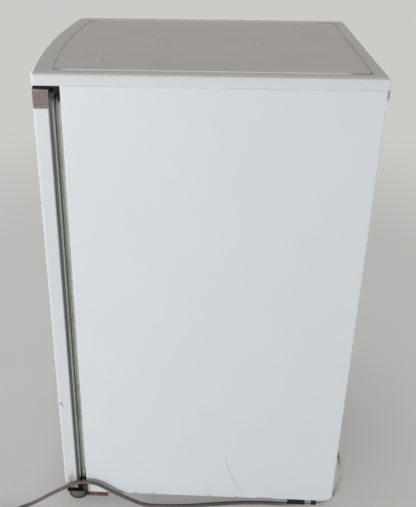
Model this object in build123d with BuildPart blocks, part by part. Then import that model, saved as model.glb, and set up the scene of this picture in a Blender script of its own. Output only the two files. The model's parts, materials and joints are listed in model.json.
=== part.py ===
from build123d import *
import math
import os

os.makedirs("parts", exist_ok=True)

# A counter-height mini fridge, in millimetres. X runs across the front with the hinges at +X, the door
# faces -Y, and the feet stand on Z = 0. The origin is under the middle of the cabinet.

# ---------------------------------------------------------------- overall sizes
width = 460.0
depth = 538.0
height = 850.0
bow = 15.5  # how far the door and the worktop swell forward at mid width

# ---------------------------------------------------------------- walls and gaps
sheet = 1.0  # painted steel
liner_wall = 2.0  # moulded plastic
side_wall = 30.0
floor_wall = 43.0
ceiling_wall = 46.0
back_wall = 46.5
slide_gap = 0.3  # between a piece and what it slides on
rest_gap = 0.2  # under a piece that is lifted off
shaft_gap = 0.06  # round a pin or a shaft, on the radius
flange_width = 26.0  # folded edge round the cabinet's mouth

# ---------------------------------------------------------------- cabinet
cabinet_z0 = 29.0
worktop_thick = 18.0
rear_overhang = 4.5
bay_depth = 165.0
grommet_height = 11.0
pot_height = 128.0  # the compressor, from its feet to its crown
dish_height = 22.0
bay_room = 13.0  # over the dish
half = width / 2
front_y = -depth / 2 + bow
back_y = depth / 2 - rear_overhang
worktop_z = height - worktop_thick
bow_radius = (half**2 + bow**2) / (2 * bow)
bow_centre_y = front_y - bow + bow_radius

# ---------------------------------------------------------------- door
door_depth = 25.0
door_gap = 17.0
door_z0 = 37.8
door_top_gap = 5.5
top_cap_height = 29.5
bottom_cap_height = 6.2
door_corner = 6.0
cabinet_y = front_y + door_depth + door_gap
door_y = front_y + door_depth
door_z1 = worktop_z - door_top_gap
top_cap_z = door_z1 - top_cap_height
bottom_cap_z = door_z0 + bottom_cap_height

# ---------------------------------------------------------------- food space
cavity_half = half - side_wall
cavity_z0 = cabinet_z0 + floor_wall
cavity_z1 = worktop_z - ceiling_wall
cavity_y1 = back_y - back_wall
bay_y = back_y - bay_depth
bay_z1 = cabinet_z0 + 2 * sheet + grommet_height + pot_height + dish_height + bay_room
hump_wall = 35.0
hump_y = bay_y - hump_wall
hump_z = bay_z1 + 33.0
cavity_round = 14.0
ridge_reach = 8.0
ridge_height = 6.0
ridge_y0 = cabinet_y + 62.0
ridge_y1 = cavity_y1 - 8.0
mouth_lip = 4.0  # the liner's rim round the mouth
stack_y0 = cabinet_y + 83.0  # front of the shelves, the tray and the drawer


def bow_y(x, inset=0.0):
    """Where the bowed front, moved in by inset, stands at x."""
    return bow_centre_y - math.sqrt((bow_radius - inset) ** 2 - x**2)


def bowed_plan(x_half, inset, rear_y, front_corner, rear_corner=0.0):
    """Plan outline with a bowed front edge."""
    side_y = bow_y(x_half, inset)
    with BuildSketch(mode=Mode.PRIVATE) as plan:
        with BuildLine():
            ThreePointArc((-x_half, side_y), (0, bow_y(0, inset)), (x_half, side_y))
            Polyline((x_half, side_y), (x_half, rear_y), (-x_half, rear_y), (-x_half, side_y))
        make_face()
        fillet(plan.vertices().group_by(Axis.Y)[0], front_corner)
        if rear_corner:
            fillet(plan.vertices().group_by(Axis.Y)[-1], rear_corner)
    return plan.sketch


def block(x0, x1, y0, y1, z0, z1, mode=Mode.ADD):
    """A box between two corners, in the part being built."""
    with Locations(((x0 + x1) / 2, (y0 + y1) / 2, (z0 + z1) / 2)):
        Box(abs(x1 - x0), abs(y1 - y0), abs(z1 - z0), mode=mode)


def post(x, y, z0, z1, radius, mode=Mode.ADD):
    """An upright cylinder, in the part being built."""
    with Locations((x, y, (z0 + z1) / 2)):
        Cylinder(radius, z1 - z0, mode=mode)


def axle(x0, x1, y, z, radius, mode=Mode.ADD):
    """A cylinder along X, in the part being built."""
    with Locations(((x0 + x1) / 2, y, z)):
        Cylinder(radius, x1 - x0, rotation=(0, 90, 0), mode=mode)


def peg(x, y0, y1, z, radius, mode=Mode.ADD):
    """A cylinder along Y, in the part being built."""
    with Locations((x, (y0 + y1) / 2, z)):
        Cylinder(radius, y1 - y0, rotation=(90, 0, 0), mode=mode)


def open_tray(x_half, y0, y1, z0, z1, wall, corner):
    """A tray with no lid, in the part being built."""
    with Locations((0, (y0 + y1) / 2, (z0 + z1) / 2)):
        outside = Box(2 * x_half, y1 - y0, z1 - z0)
    fillet(outside.edges().filter_by(Axis.Z), corner)
    hollow_corner = max(corner - wall, 0.5)
    with BuildSketch(Plane.XY.offset(z0 + wall), mode=Mode.PRIVATE) as hollow:
        with Locations((0, (y0 + y1) / 2)):
            RectangleRounded(2 * (x_half - wall), y1 - y0 - 2 * wall, hollow_corner)
    extrude(hollow.sketch, amount=z1 - z0, mode=Mode.SUBTRACT)


def screw(x, y, z, axis, head_radius=4.0, head_height=2.2, shank_radius=2.0, shank=10.0):
    """A pan-head screw with its head's seat at the point, its head along axis, in the part being built."""
    seat = Plane(origin=(x, y, z), z_dir=axis)
    with BuildSketch(seat, mode=Mode.PRIVATE) as head:
        Circle(head_radius)
    extrude(head.sketch, amount=head_height)
    with BuildSketch(seat, mode=Mode.PRIVATE) as body:
        Circle(shank_radius)
    extrude(body.sketch, amount=-shank)


def screw_hole(x, y, z, axis, radius=2.0, depth=10.0):
    """The hole that a screw's shank fills, in the part being built."""
    with BuildSketch(Plane(origin=(x, y, z), z_dir=axis), mode=Mode.PRIVATE) as bore:
        Circle(radius)
    extrude(bore.sketch, amount=-depth, mode=Mode.SUBTRACT)


def pipe(points, radii, radius):
    """A round pipe along straight runs joined by arcs, in the part being built."""
    with BuildLine(mode=Mode.PRIVATE) as route:
        FilletPolyline(*points, radius=radii)
    line = route.wire()
    with BuildSketch(Plane(origin=line @ 0, z_dir=line % 0), mode=Mode.PRIVATE) as section:
        Circle(radius)
    sweep(section.sketch, path=line)
    return line.length


def write(piece, node):
    """Labels a finished piece and writes it as a node."""
    piece.part.label = node
    export_step(piece.part, f"parts/{node}.step")


# ================================================================ worktop
rim_side = 29.5
rim_front = 29.0
rim_back = 21.0
rim_ledge = 9.0
ledge_thick = 4.0
panel_gap = 2.6  # the groove between rim and panel
panel_drop = 0.4
rim_edge_round = 5.5
rim_inner_round = 2.0
panel_edge_round = 1.0
worktop_corner = 9.0
worktop_rear_corner = 7.0
panel_corner = 10.0
lip_drop = 15.0
lip_thick = 3.5
lip_screw_x = 150.0
worktop_y1 = depth / 2

with BuildPart() as worktop_rim:
    with BuildSketch(Plane.XY.offset(worktop_z)):
        add(bowed_plan(half, 0, worktop_y1, worktop_corner, worktop_rear_corner))
    extrude(amount=worktop_thick)
    fillet(worktop_rim.faces().sort_by(Axis.Z)[-1].edges(), rim_edge_round)
    with BuildSketch(Plane.XY.offset(worktop_z + ledge_thick)):
        add(bowed_plan(half - rim_side, rim_front, worktop_y1 - rim_back, panel_corner, panel_corner))
    extrude(amount=worktop_thick, mode=Mode.SUBTRACT)
    fillet(worktop_rim.faces().sort_by(Axis.Z)[-1].inner_wires().edges(), rim_inner_round)
    with BuildSketch(Plane.XY.offset(worktop_z)):
        window_half = half - rim_side - rim_ledge
        window_y1 = worktop_y1 - rim_back - rim_ledge
        add(bowed_plan(window_half, rim_front + rim_ledge, window_y1, panel_corner, panel_corner))
    extrude(amount=worktop_thick, mode=Mode.SUBTRACT)
    lip_half = half - worktop_rear_corner
    block(-lip_half, lip_half, worktop_y1 - lip_thick, worktop_y1, worktop_z - lip_drop, worktop_z)
    for side in (-1, 1):
        screw_hole(side * lip_screw_x, worktop_y1, worktop_z - lip_drop / 2, (0, 1, 0), depth=lip_thick)
write(worktop_rim, "worktop_rim")

with BuildPart() as worktop_panel:
    panel_half = half - rim_side - panel_gap
    panel_y1 = worktop_y1 - rim_back - panel_gap
    with BuildSketch(Plane.XY.offset(worktop_z + ledge_thick)):
        add(bowed_plan(panel_half, rim_front + panel_gap, panel_y1, panel_corner, panel_corner))
    extrude(amount=worktop_thick - ledge_thick - panel_drop)
    fillet(worktop_panel.faces().sort_by(Axis.Z)[-1].edges(), panel_edge_round)
write(worktop_panel, "worktop_panel")

# ================================================================ cabinet sheets
flange_x = half - flange_width
mouth_z0 = cavity_z0 - mouth_lip
mouth_z1 = cavity_z1 + mouth_lip
rear_flange = 16.0
fold_round = 2.5
rear_foot_round = 14.0
deck_z = worktop_z - sheet
base_z1 = cabinet_z0 + 2 * sheet
back_panel_y = back_y - 2 * sheet
skin_half = half - sheet


def side_panel(side):
    """A painted side sheet, folded inwards at its front and back edges."""
    with BuildPart() as panel:
        with BuildSketch(Plane.XY.offset(cabinet_z0)) as plan:
            with Locations((side * (half - flange_width / 2), (cabinet_y + back_y) / 2)):
                Rectangle(flange_width, back_y - cabinet_y)
            by_side = plan.vertices().group_by(Axis.X)
            fillet(by_side[-1] if side > 0 else by_side[0], fold_round)
            with Locations((side * (half - sheet - flange_width / 2), (cabinet_y + back_y) / 2)):
                Rectangle(flange_width, back_y - cabinet_y - 2 * sheet, mode=Mode.SUBTRACT)
        extrude(amount=worktop_z - cabinet_z0)
        shorter = flange_width - rear_flange
        x0, x1 = side * flange_x, side * (flange_x + shorter)
        block(x0, x1, back_y - sheet, back_y, cabinet_z0, worktop_z, Mode.SUBTRACT)
        with BuildSketch(Plane.YZ.offset(side * half)) as profile:
            with Locations(((cabinet_y + back_y) / 2, (cabinet_z0 + worktop_z) / 2)):
                Rectangle(back_y - cabinet_y, worktop_z - cabinet_z0)
            fillet(profile.vertices().group_by(Axis.Y)[0].sort_by(Axis.X)[-1], rear_foot_round)
        extrude(amount=-side * flange_width, mode=Mode.INTERSECT)
    return panel


right_side_panel = side_panel(1)
write(right_side_panel, "right_side_panel")
left_side_panel = side_panel(-1)
write(left_side_panel, "left_side_panel")

with BuildPart() as top_deck:
    block(-skin_half, skin_half, cabinet_y + sheet, back_y - sheet, deck_z, worktop_z)
    block(-flange_x, flange_x, cabinet_y, cabinet_y + sheet, mouth_z1, worktop_z)
write(top_deck, "top_deck")

with BuildPart() as base_plate:
    block(-skin_half, skin_half, cabinet_y + sheet, back_y - rear_foot_round, cabinet_z0, base_z1)
    block(-flange_x, flange_x, cabinet_y, cabinet_y + sheet, cabinet_z0, mouth_z0)
write(base_plate, "base_plate")

# The back sheet turns in over the compressor bay and down its front wall, with two pressed beads.
bead_rise = 1.2
bead_width = 14.0
bead_x = 62.0
bead_end_gap = 50.0
with BuildPart() as back_panel:
    block(-skin_half, skin_half, back_panel_y, back_panel_y + sheet, bay_z1, deck_z)
    block(-skin_half, skin_half, bay_y - sheet, back_panel_y, bay_z1, bay_z1 + sheet)
    block(-skin_half, skin_half, bay_y - sheet, bay_y, base_z1, bay_z1)
    bead_y0 = back_panel_y + sheet
    for side in (-1, 1):
        bead_x0, bead_x1 = side * bead_x, side * (bead_x + bead_width)
        block(bead_x0, bead_x1, bead_y0, bead_y0 + bead_rise, bay_z1 + bead_end_gap, deck_z - bead_end_gap)
write(back_panel, "back_panel")

# ================================================================ liner and foam
hump_slope = 8.0


def cavity_profile(grow):
    """Side profile of the food space, grown by a wall. It steps up over the compressor bay."""
    with BuildSketch(Plane.YZ, mode=Mode.PRIVATE) as profile:
        with BuildLine():
            Polyline(
                (cabinet_y, cavity_z0),
                (hump_y, cavity_z0),
                (hump_y + hump_slope, hump_z),
                (cavity_y1, hump_z),
                (cavity_y1, cavity_z1),
                (cabinet_y, cavity_z1),
                close=True,
            )
        make_face()
        fillet(profile.vertices().sort_by(Axis.X)[2:], cavity_round)
        if grow:
            offset(amount=grow, kind=Kind.ARC)
    return profile.sketch


tray_room = 126.0  # from the tray's ridges to the ceiling
tray_z = cavity_z1 - tray_room
upper_room = 140.0  # from the upper shelf to the tray
upper_z = tray_z - upper_room
lower_share = 130.0 / 282.0  # of the way from the crisper's cover up to the upper shelf
lower_z = hump_z + lower_share * (upper_z - hump_z)
ridge_tops = {"tray": tray_z, "upper": upper_z, "lower": lower_z, "cover": hump_z}

with BuildPart() as inner_liner:
    extrude(cavity_profile(liner_wall), amount=cavity_half + liner_wall, both=True)
    block(-half, half, cabinet_y - side_wall, cabinet_y, 0, height, Mode.SUBTRACT)
    block(-flange_x, flange_x, cabinet_y, cabinet_y + liner_wall, mouth_z0, mouth_z1)
    extrude(cavity_profile(0), amount=cavity_half, both=True, mode=Mode.SUBTRACT)
    for ridge_top in ridge_tops.values():
        for side in (-1, 1):
            wall_x = side * cavity_half
            ridge_end = min(ridge_y1, hump_y) if ridge_top == hump_z else ridge_y1
            ridge_z0 = ridge_top - ridge_height
            block(wall_x, wall_x - side * ridge_reach, ridge_y0, ridge_end, ridge_z0, ridge_top)
write(inner_liner, "inner_liner")

with BuildPart() as cabinet_foam:
    foam_y0 = cabinet_y + liner_wall
    block(-skin_half, skin_half, foam_y0, back_panel_y, base_z1, deck_z)
    block(-half, half, bay_y - sheet, back_y, 0, bay_z1 + sheet, Mode.SUBTRACT)
    extrude(cavity_profile(liner_wall), amount=cavity_half + liner_wall, both=True, mode=Mode.SUBTRACT)
write(cabinet_foam, "cabinet_foam")

# ================================================================ worktop screws
with BuildPart() as worktop_screws:
    for side in (-1, 1):
        screw(side * lip_screw_x, worktop_y1, worktop_z - lip_drop / 2, (0, 1, 0), shank=lip_thick)
write(worktop_screws, "worktop_screws")

# ================================================================ hinges and front feet
pin_x = half - 16.0
pin_y = front_y + 12.0
pin_radius = 3.0
plate = 3.0
arm_x0 = half - 44.0
arm_x1 = half - 2.0
top_arm_z0 = deck_z - plate
top_upright_z0 = door_z1 - 15.0
bottom_arm_z0 = cabinet_z0 - plate
under_reach = 41.0  # how far the bottom arm runs under the cabinet
upright_z1 = cabinet_z0 + 21.0
tab_z1 = cabinet_z0 + 31.0
tab_y0 = cabinet_y - 8.5
arm_y0 = front_y + 2.5
gusset_z0 = door_z1 - 6.0
ear_top = cabinet_z0 + 24.0
ear_round = 1.5
ear_reach = 9.5
skirt_z0 = 16.7
bracket_screw_x = (arm_x0 + 8.0, arm_x1 - 12.0)
bracket_screw_y = (cabinet_y + 12.0, cabinet_y + 30.0)
top_screw_z = top_upright_z0 + 7.0
bottom_screw_z = upright_z1 - 8.0
foot_x = half - 28.0
foot_y = front_y + 21.0
foot_radius = 20.0
foot_height = 22.0
stud_radius = 4.0
stud_top = 35.5
foot_round = 1.6
foot_groove_z0 = 6.0
foot_grooves = 22
groove_radius = 1.7
foot_nut_radius = 7.5
nut_gap = 0.5
bush_seat = 2.0
collar_radius = 5.5
bush_radius = 5.5
bush_depth = 18.0

with BuildPart() as top_hinge_bracket:
    block(arm_x0, arm_x1, arm_y0, cabinet_y, top_arm_z0, deck_z)
    block(arm_x0, arm_x1, cabinet_y - plate, cabinet_y, top_upright_z0, deck_z)
    block(arm_x1 - plate, arm_x1, tab_y0, cabinet_y, gusset_z0, deck_z)
    post(pin_x, pin_y, top_arm_z0, deck_z, pin_radius, Mode.SUBTRACT)
    for x in bracket_screw_x:
        screw_hole(x, cabinet_y - plate, top_screw_z, (0, -1, 0), depth=plate)
write(top_hinge_bracket, "top_hinge_bracket")


def foot_bracket(side, hinged):
    """The folded steel bracket under a front corner. The hinged one has an ear past the cabinet's side."""
    with BuildPart() as bracket:
        x0, x1 = side * arm_x0, side * arm_x1
        skin_x = x1 - side * plate
        block(x0, x1, arm_y0, cabinet_y + under_reach, bottom_arm_z0, cabinet_z0)
        block(x0, x1, cabinet_y - plate, cabinet_y, bottom_arm_z0, upright_z1)
        block(skin_x, x1, cabinet_y, cabinet_y + under_reach, skirt_z0, bottom_arm_z0)
        block(skin_x, x1, tab_y0, cabinet_y, bottom_arm_z0, tab_z1)
        post(side * foot_x, foot_y, 0, height, stud_radius + shaft_gap, Mode.SUBTRACT)
        for x in bracket_screw_x:
            screw_hole(side * x, cabinet_y - plate, bottom_screw_z, (0, -1, 0), depth=plate)
            for y in bracket_screw_y:
                screw_hole(side * x, y, bottom_arm_z0, (0, 0, -1), depth=plate)
        if hinged:
            post(pin_x, pin_y, bottom_arm_z0, cabinet_z0, pin_radius, Mode.SUBTRACT)
            block(arm_x1, half + ear_reach, tab_y0, cabinet_y, ear_top - plate, ear_top)
            block(arm_x1, half + ear_reach, cabinet_y - plate, cabinet_y, cabinet_z0, ear_top - plate)
            outer = bracket.edges().filter_by(Axis.Y).sort_by(Axis.X)[-2:].sort_by(Axis.Z)[-1]
            fillet(outer, ear_round)
    return bracket


bottom_hinge_bracket = foot_bracket(1, True)
write(bottom_hinge_bracket, "bottom_hinge_bracket")
far_foot_bracket = foot_bracket(-1, False)
write(far_foot_bracket, "far_foot_bracket")

# The two pins are riveted in their arms, and the door rides on the lower one's collar.
pin_in_bush = bush_depth - bush_seat
with BuildPart() as hinge_pins:
    post(pin_x, pin_y, door_z1 - pin_in_bush, deck_z, pin_radius)
    post(pin_x, pin_y, bottom_arm_z0, door_z0 + pin_in_bush, pin_radius)
    post(pin_x, pin_y, cabinet_z0, door_z0 - slide_gap, collar_radius)
write(hinge_pins, "hinge_pins")

with BuildPart() as bracket_screws:
    for x in bracket_screw_x:
        screw(x, cabinet_y - plate, top_screw_z, (0, -1, 0), shank=plate)
        for side in (-1, 1):
            screw(side * x, cabinet_y - plate, bottom_screw_z, (0, -1, 0), shank=plate)
            for y in bracket_screw_y:
                screw(side * x, y, bottom_arm_z0, (0, 0, -1), shank=plate)
write(bracket_screws, "bracket_screws")


def front_foot(side):
    """A levelling foot: a ribbed plastic puck on a threaded stud."""
    with BuildPart() as foot:
        x = side * foot_x
        post(x, foot_y, 0, foot_height, foot_radius)
        fillet(foot.edges().filter_by(GeomType.CIRCLE), foot_round)
        with BuildSketch(Plane.XY.offset(foot_groove_z0)):
            with Locations((x, foot_y)):
                with PolarLocations(foot_radius + groove_radius / 2, foot_grooves):
                    Circle(groove_radius)
        extrude(amount=foot_height - foot_groove_z0 - 2 * foot_round, mode=Mode.SUBTRACT)
        with BuildSketch(Plane.XY.offset(foot_height)):
            with Locations((x, foot_y)):
                RegularPolygon(foot_nut_radius, 6)
        extrude(amount=bottom_arm_z0 - foot_height - nut_gap)
        post(x, foot_y, foot_height, stud_top, stud_radius)
    return foot


hinge_side_foot = front_foot(1)
write(hinge_side_foot, "hinge_side_foot")
far_side_foot = front_foot(-1)
write(far_side_foot, "far_side_foot")

# ================================================================ rear rollers
roller_x = half - 35.0
roller_y = back_y - 44.0
roller_radius = 12.0
roller_width = 13.0
roller_axle = 2.5
cheek = 2.5
cheek_gap = 0.8
cheek_half = roller_width / 2 + cheek_gap + cheek
bracket_y0 = roller_y - 40.0
bracket_y1 = roller_y + 15.5
cheek_z0 = 5.0
apron_x = half - 5.0
apron_z0 = 11.0
apron_gap = 6.0  # half the opening in the apron that the roller shows through
cheek_half_depth = 9.0
roller_round = 1.2
roller_dish = 2.0
roller_tread = 3.5
roller_hub = 4.5

with BuildPart() as rear_roller_brackets:
    for side in (-1, 1):
        cx = side * roller_x
        inner_x, outer_x = side * (roller_x - cheek_half), side * apron_x
        block(inner_x, outer_x, bracket_y0, bracket_y1, bottom_arm_z0, cabinet_z0)
        for y0, y1 in ((bracket_y0, roller_y - apron_gap), (roller_y + apron_gap, bracket_y1)):
            block(outer_x - side * cheek, outer_x, y0, y1, apron_z0, bottom_arm_z0)
        for cheek_x in (cx - cheek_half, cx + cheek_half - cheek):
            with BuildSketch(Plane.YZ.offset(cheek_x)):
                with BuildLine():
                    Polyline(
                        (bracket_y0, bottom_arm_z0),
                        (roller_y - cheek_half_depth, cheek_z0),
                        (roller_y + cheek_half_depth, cheek_z0),
                        (bracket_y1, bottom_arm_z0),
                        close=True,
                    )
                make_face()
            extrude(amount=cheek)
        axle(cx - cheek_half, cx + cheek_half, roller_y, roller_radius, roller_axle, Mode.SUBTRACT)
write(rear_roller_brackets, "rear_roller_brackets")

with BuildPart() as roller_axles:
    for side in (-1, 1):
        cx = side * roller_x
        axle(cx - cheek_half, cx + cheek_half, roller_y, roller_radius, roller_axle)
write(roller_axles, "roller_axles")


def rear_roller(side):
    """A solid plastic roller with a dished web and a hub."""
    with BuildPart() as roller:
        cx = side * roller_x
        axle(cx - roller_width / 2, cx + roller_width / 2, roller_y, roller_radius, roller_radius)
        fillet(roller.edges().filter_by(GeomType.CIRCLE), roller_round)
        for end in (-1, 1):
            face_x = cx + end * roller_width / 2
            dish_x0, dish_x1 = sorted((face_x, face_x - end * roller_dish))
            axle(dish_x0, dish_x1, roller_y, roller_radius, roller_radius - roller_tread, Mode.SUBTRACT)
        axle(cx - roller_width / 2, cx + roller_width / 2, roller_y, roller_radius, roller_hub)
        bore = roller_axle + shaft_gap
        axle(cx - roller_width, cx + roller_width, roller_y, roller_radius, bore, Mode.SUBTRACT)
    return roller


right_rear_roller = rear_roller(1)
write(right_rear_roller, "right_rear_roller")
left_rear_roller = rear_roller(-1)
write(left_rear_roller, "left_rear_roller")

# ================================================================ door
dike_outer = cavity_half - 15.0
dike_inner = cavity_half - 35.0
dike_z0 = cavity_z0 + 12.0
dike_z1 = cavity_z1 - 6.0
dike_depth = 45.0
dike_edge = 20.0
liner_y0 = door_y
liner_y1 = door_y + liner_wall
dike_y = liner_y1 + dike_depth
skin_lip = 11.0
liner_half = half - 4.0
liner_z0 = bottom_cap_z + 2.0
liner_z1 = door_z1 - 8.0
rack_gap = 1.5
rack_half = dike_inner - rack_gap
rack_wall = 2.5
rack_y0 = liner_y1 + 0.5
rack_y1 = stack_y0 - 16.0
rack_height = 60.0
bottle_height = 95.0
bottle_z = cavity_z0 + 40.0
upper_rack_z = cavity_z1 - 158.0
middle_share = 318.0 / 516.0  # of the way from the bottle rack up to the upper one
racks = {
    "upper_door_rack": (upper_rack_z, rack_height),
    "middle_door_rack": (bottle_z + middle_share * (upper_rack_z - bottle_z), rack_height),
    "bottle_rack": (bottle_z, bottle_height),
}
lug_reach = 9.0
lug_height = 12.0
lug_y0 = liner_y1 + 6.0
lug_y1 = dike_y - 4.0
grip_half = 105.0
grip_depth = 15.0
grip_z0 = top_cap_z + 6.0
grip_z1 = door_z1 - 7.0
grip_round = 8.0
cap_round = 1.2
liner_corner = 10.0
dike_corner = 16.0
dike_inner_corner = 8.0
dike_round = 3.0

with BuildPart() as door_skin:
    with BuildSketch(Plane.XY.offset(bottom_cap_z)):
        add(bowed_plan(half, 0, door_y, door_corner))
        add(bowed_plan(half - sheet, sheet, door_y + sheet, door_corner - sheet), mode=Mode.SUBTRACT)
        for side in (-1, 1):
            with Locations((side * (half - skin_lip / 2), door_y - sheet / 2)):
                Rectangle(skin_lip, sheet)
    extrude(amount=top_cap_z - bottom_cap_z)
write(door_skin, "door_skin")

with BuildPart() as door_foam:
    with BuildSketch(Plane.XY.offset(bottom_cap_z)):
        add(bowed_plan(half - sheet, sheet, door_y - sheet, door_corner - sheet))
    extrude(amount=top_cap_z - bottom_cap_z)
    core_half = half - skin_lip
    block(-core_half, core_half, door_y - sheet, liner_y0, bottom_cap_z, top_cap_z)
    post(pin_x, pin_y, bottom_cap_z, door_z0 + bush_depth, bush_radius, Mode.SUBTRACT)
write(door_foam, "door_foam")

with BuildPart() as door_liner:
    block(-liner_half, liner_half, liner_y0, liner_y1, liner_z0, liner_z1)
    fillet(door_liner.edges().filter_by(Axis.Y), liner_corner)
    with BuildSketch(Plane.XZ.offset(-liner_y1)):
        with Locations((0, (dike_z0 + dike_z1) / 2)):
            RectangleRounded(2 * dike_outer, dike_z1 - dike_z0, dike_corner)
            inner_height = dike_z1 - dike_z0 - 2 * dike_edge
            RectangleRounded(2 * dike_inner, inner_height, dike_inner_corner, mode=Mode.SUBTRACT)
    extrude(amount=-dike_depth)
    rim = door_liner.faces().filter_by(Axis.Y).sort_by(Axis.Y)[-1]
    fillet(rim.edges(), dike_round)
    for rack_z0, _ in racks.values():
        for side in (-1, 1):
            wall_x = side * dike_inner
            block(wall_x, wall_x - side * lug_reach, lug_y0, lug_y1, rack_z0 - rest_gap - lug_height,
                  rack_z0 - rest_gap)
write(door_liner, "door_liner")

# The seal: a foot on the liner, a bead that shows as a pale line in the gap, and the magnet strip.
seal_foot_half = half - 20.0
seal_bead_half = half - 16.0
seal_magnet_half = half - 19.0
seal_width = 15.0
seal_z0 = upright_z1 + 4.0
seal_z1 = top_upright_z0 - 3.0
seal_bead_y0 = liner_y1 + 1.2
seal_bead_y1 = liner_y1 + 6.2
seal_magnet_y0 = cabinet_y - 4.0
seal_y1 = cabinet_y - slide_gap
seal_corner = 9.0
bead_corner = 12.0


def seal_ring(y0, y1, x_half, width_in, corner):
    """One layer of the seal, a rounded ring, in the part being built."""
    with BuildSketch(Plane.XZ.offset(-y0), mode=Mode.PRIVATE) as ring:
        with Locations((0, (seal_z0 + seal_z1) / 2)):
            tall = seal_z1 - seal_z0 - 2 * (seal_bead_half - x_half)
            RectangleRounded(2 * x_half, tall, corner)
            RectangleRounded(2 * (x_half - width_in), tall - 2 * width_in, corner / 2, mode=Mode.SUBTRACT)
    extrude(ring.sketch, amount=-(y1 - y0))


with BuildPart() as door_gasket:
    seal_ring(liner_y1, seal_bead_y0, seal_foot_half, 12.0, seal_corner)
    seal_ring(seal_bead_y0, seal_bead_y1, seal_bead_half, seal_width, bead_corner)
    seal_ring(seal_bead_y1, seal_magnet_y0, seal_foot_half, 8.0, seal_corner)
    seal_ring(seal_magnet_y0, seal_y1, seal_magnet_half, 13.0, seal_corner)
write(door_gasket, "door_gasket")

with BuildPart() as door_top_cap:
    with BuildSketch(Plane.XY.offset(top_cap_z)):
        add(bowed_plan(half, 0, door_y, door_corner))
    extrude(amount=top_cap_height)
    fillet(door_top_cap.faces().sort_by(Axis.Z)[-1].edges(), cap_round)
    with BuildSketch(Plane.XY.offset(grip_z0)):
        with Locations((0, front_y - bow)):
            RectangleRounded(2 * grip_half, 2 * grip_depth, grip_round)
    extrude(amount=grip_z1 - grip_z0, mode=Mode.SUBTRACT)
    post(pin_x, pin_y, door_z1 - bush_depth, door_z1, bush_radius, Mode.SUBTRACT)
write(door_top_cap, "door_top_cap")

with BuildPart() as door_bottom_cap:
    with BuildSketch(Plane.XY.offset(door_z0)):
        add(bowed_plan(half, 0, door_y, door_corner))
    extrude(amount=bottom_cap_height)
    fillet(door_bottom_cap.faces().sort_by(Axis.Z)[0].edges(), cap_round)
    post(pin_x, pin_y, door_z0, bottom_cap_z, bush_radius, Mode.SUBTRACT)
write(door_bottom_cap, "door_bottom_cap")

# A bush in each end of the door, with a thin washer edge that shows in the gap above the door.
washer = 1.1
washer_reach = 1.0
with BuildPart() as hinge_bushes:
    post(pin_x, pin_y, door_z1 - bush_depth, door_z1, bush_radius)
    post(pin_x, pin_y, door_z1, door_z1 + washer, bush_radius + washer_reach)
    post(pin_x, pin_y, door_z0, door_z0 + bush_depth, bush_radius)
    post(pin_x, pin_y, 0, height, pin_radius + shaft_gap, Mode.SUBTRACT)
write(hinge_bushes, "hinge_bushes")

# ================================================================ door racks
guard_height = 16.0
guard_post = 18.0
guard_windows = 3
guard_corner = 5.0
rack_corner = 6.0
for rack_name, (rack_z0, rack_tall) in racks.items():
    with BuildPart() as rack:
        open_tray(rack_half, rack_y0, rack_y1, rack_z0, rack_z0 + rack_tall, rack_wall, rack_corner)
        window_pitch = 2 * rack_half / guard_windows
        window_z0 = rack_z0 + guard_height
        window_z1 = rack_z0 + rack_tall - guard_height
        with BuildSketch(Plane.XZ.offset(-(rack_y1 - rack_wall))):
            with Locations((0, (window_z0 + window_z1) / 2)):
                with GridLocations(window_pitch, 0, guard_windows, 1):
                    RectangleRounded(window_pitch - guard_post, window_z1 - window_z0, guard_corner)
        extrude(amount=-rack_wall, mode=Mode.SUBTRACT)
    write(rack, rack_name)

# ================================================================ shelves
shelf_gap = 1.5  # each side, to the liner's wall
frame_rod = 2.5
bar_rod = 1.5
cross_rod = 2.0
shelf_y1 = cavity_y1 - cavity_round - 1.0
shelf_corner = 12.0
bar_count = 15
cross_shares = (0.3, 0.7)


def wire_shelf(rest_z):
    """A coated wire shelf that lies on the ridges at rest_z."""
    z = rest_z + slide_gap + frame_rod
    x_half = cavity_half - shelf_gap - frame_rod
    y0, y1 = stack_y0 + frame_rod, shelf_y1 - frame_rod
    with BuildPart() as shelf:
        with BuildLine(Plane.XY.offset(z), mode=Mode.PRIVATE) as loop:
            corners = (-x_half, y0), (x_half, y0), (x_half, y1), (-x_half, y1)
            FilletPolyline(*corners, radius=shelf_corner, close=True)
        with BuildSketch(Plane(origin=loop.line @ 0, z_dir=loop.line % 0), mode=Mode.PRIVATE) as section:
            Circle(frame_rod)
        sweep(section.sketch, path=loop.line)
        pitch = 2 * x_half / (bar_count + 1)
        for i in range(bar_count):
            peg(-x_half + (i + 1) * pitch, y0, y1, z + frame_rod - cross_rod, bar_rod)
        for share in cross_shares:
            axle(-x_half, x_half, y0 + share * (y1 - y0), z - frame_rod + cross_rod, cross_rod)
    return shelf


upper_shelf = wire_shelf(ridge_tops["upper"])
write(upper_shelf, "upper_shelf")
lower_shelf = wire_shelf(ridge_tops["lower"])
write(lower_shelf, "lower_shelf")

# ================================================================ crisper
cover_thick = 4.0
cover_half = cavity_half - shelf_gap
trim_height = 12.0
trim_depth = 9.0
crisper_half = cavity_half - 12.0
crisper_wall = 2.5
crisper_y1 = hump_y - cavity_round - 2.0
crisper_z0 = cavity_z0 + slide_gap
crisper_z1 = hump_z - ridge_height - 14.0
crisper_corner = 9.0
pull_half = 60.0
pull_reach = 8.0
pull_thick = 3.0
pull_drop = 9.0
trim_overlap = 4.0
trim_rise = 2.0
trim_round = 1.5
glass_corner = 3.0

groove_y0 = stack_y0 + trim_depth - trim_overlap
with BuildPart() as crisper_cover_glass:
    block(-cover_half, cover_half, groove_y0, shelf_y1, hump_z, hump_z + cover_thick)
    fillet(crisper_cover_glass.edges().filter_by(Axis.Z), glass_corner)
write(crisper_cover_glass, "crisper_cover_glass")

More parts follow.
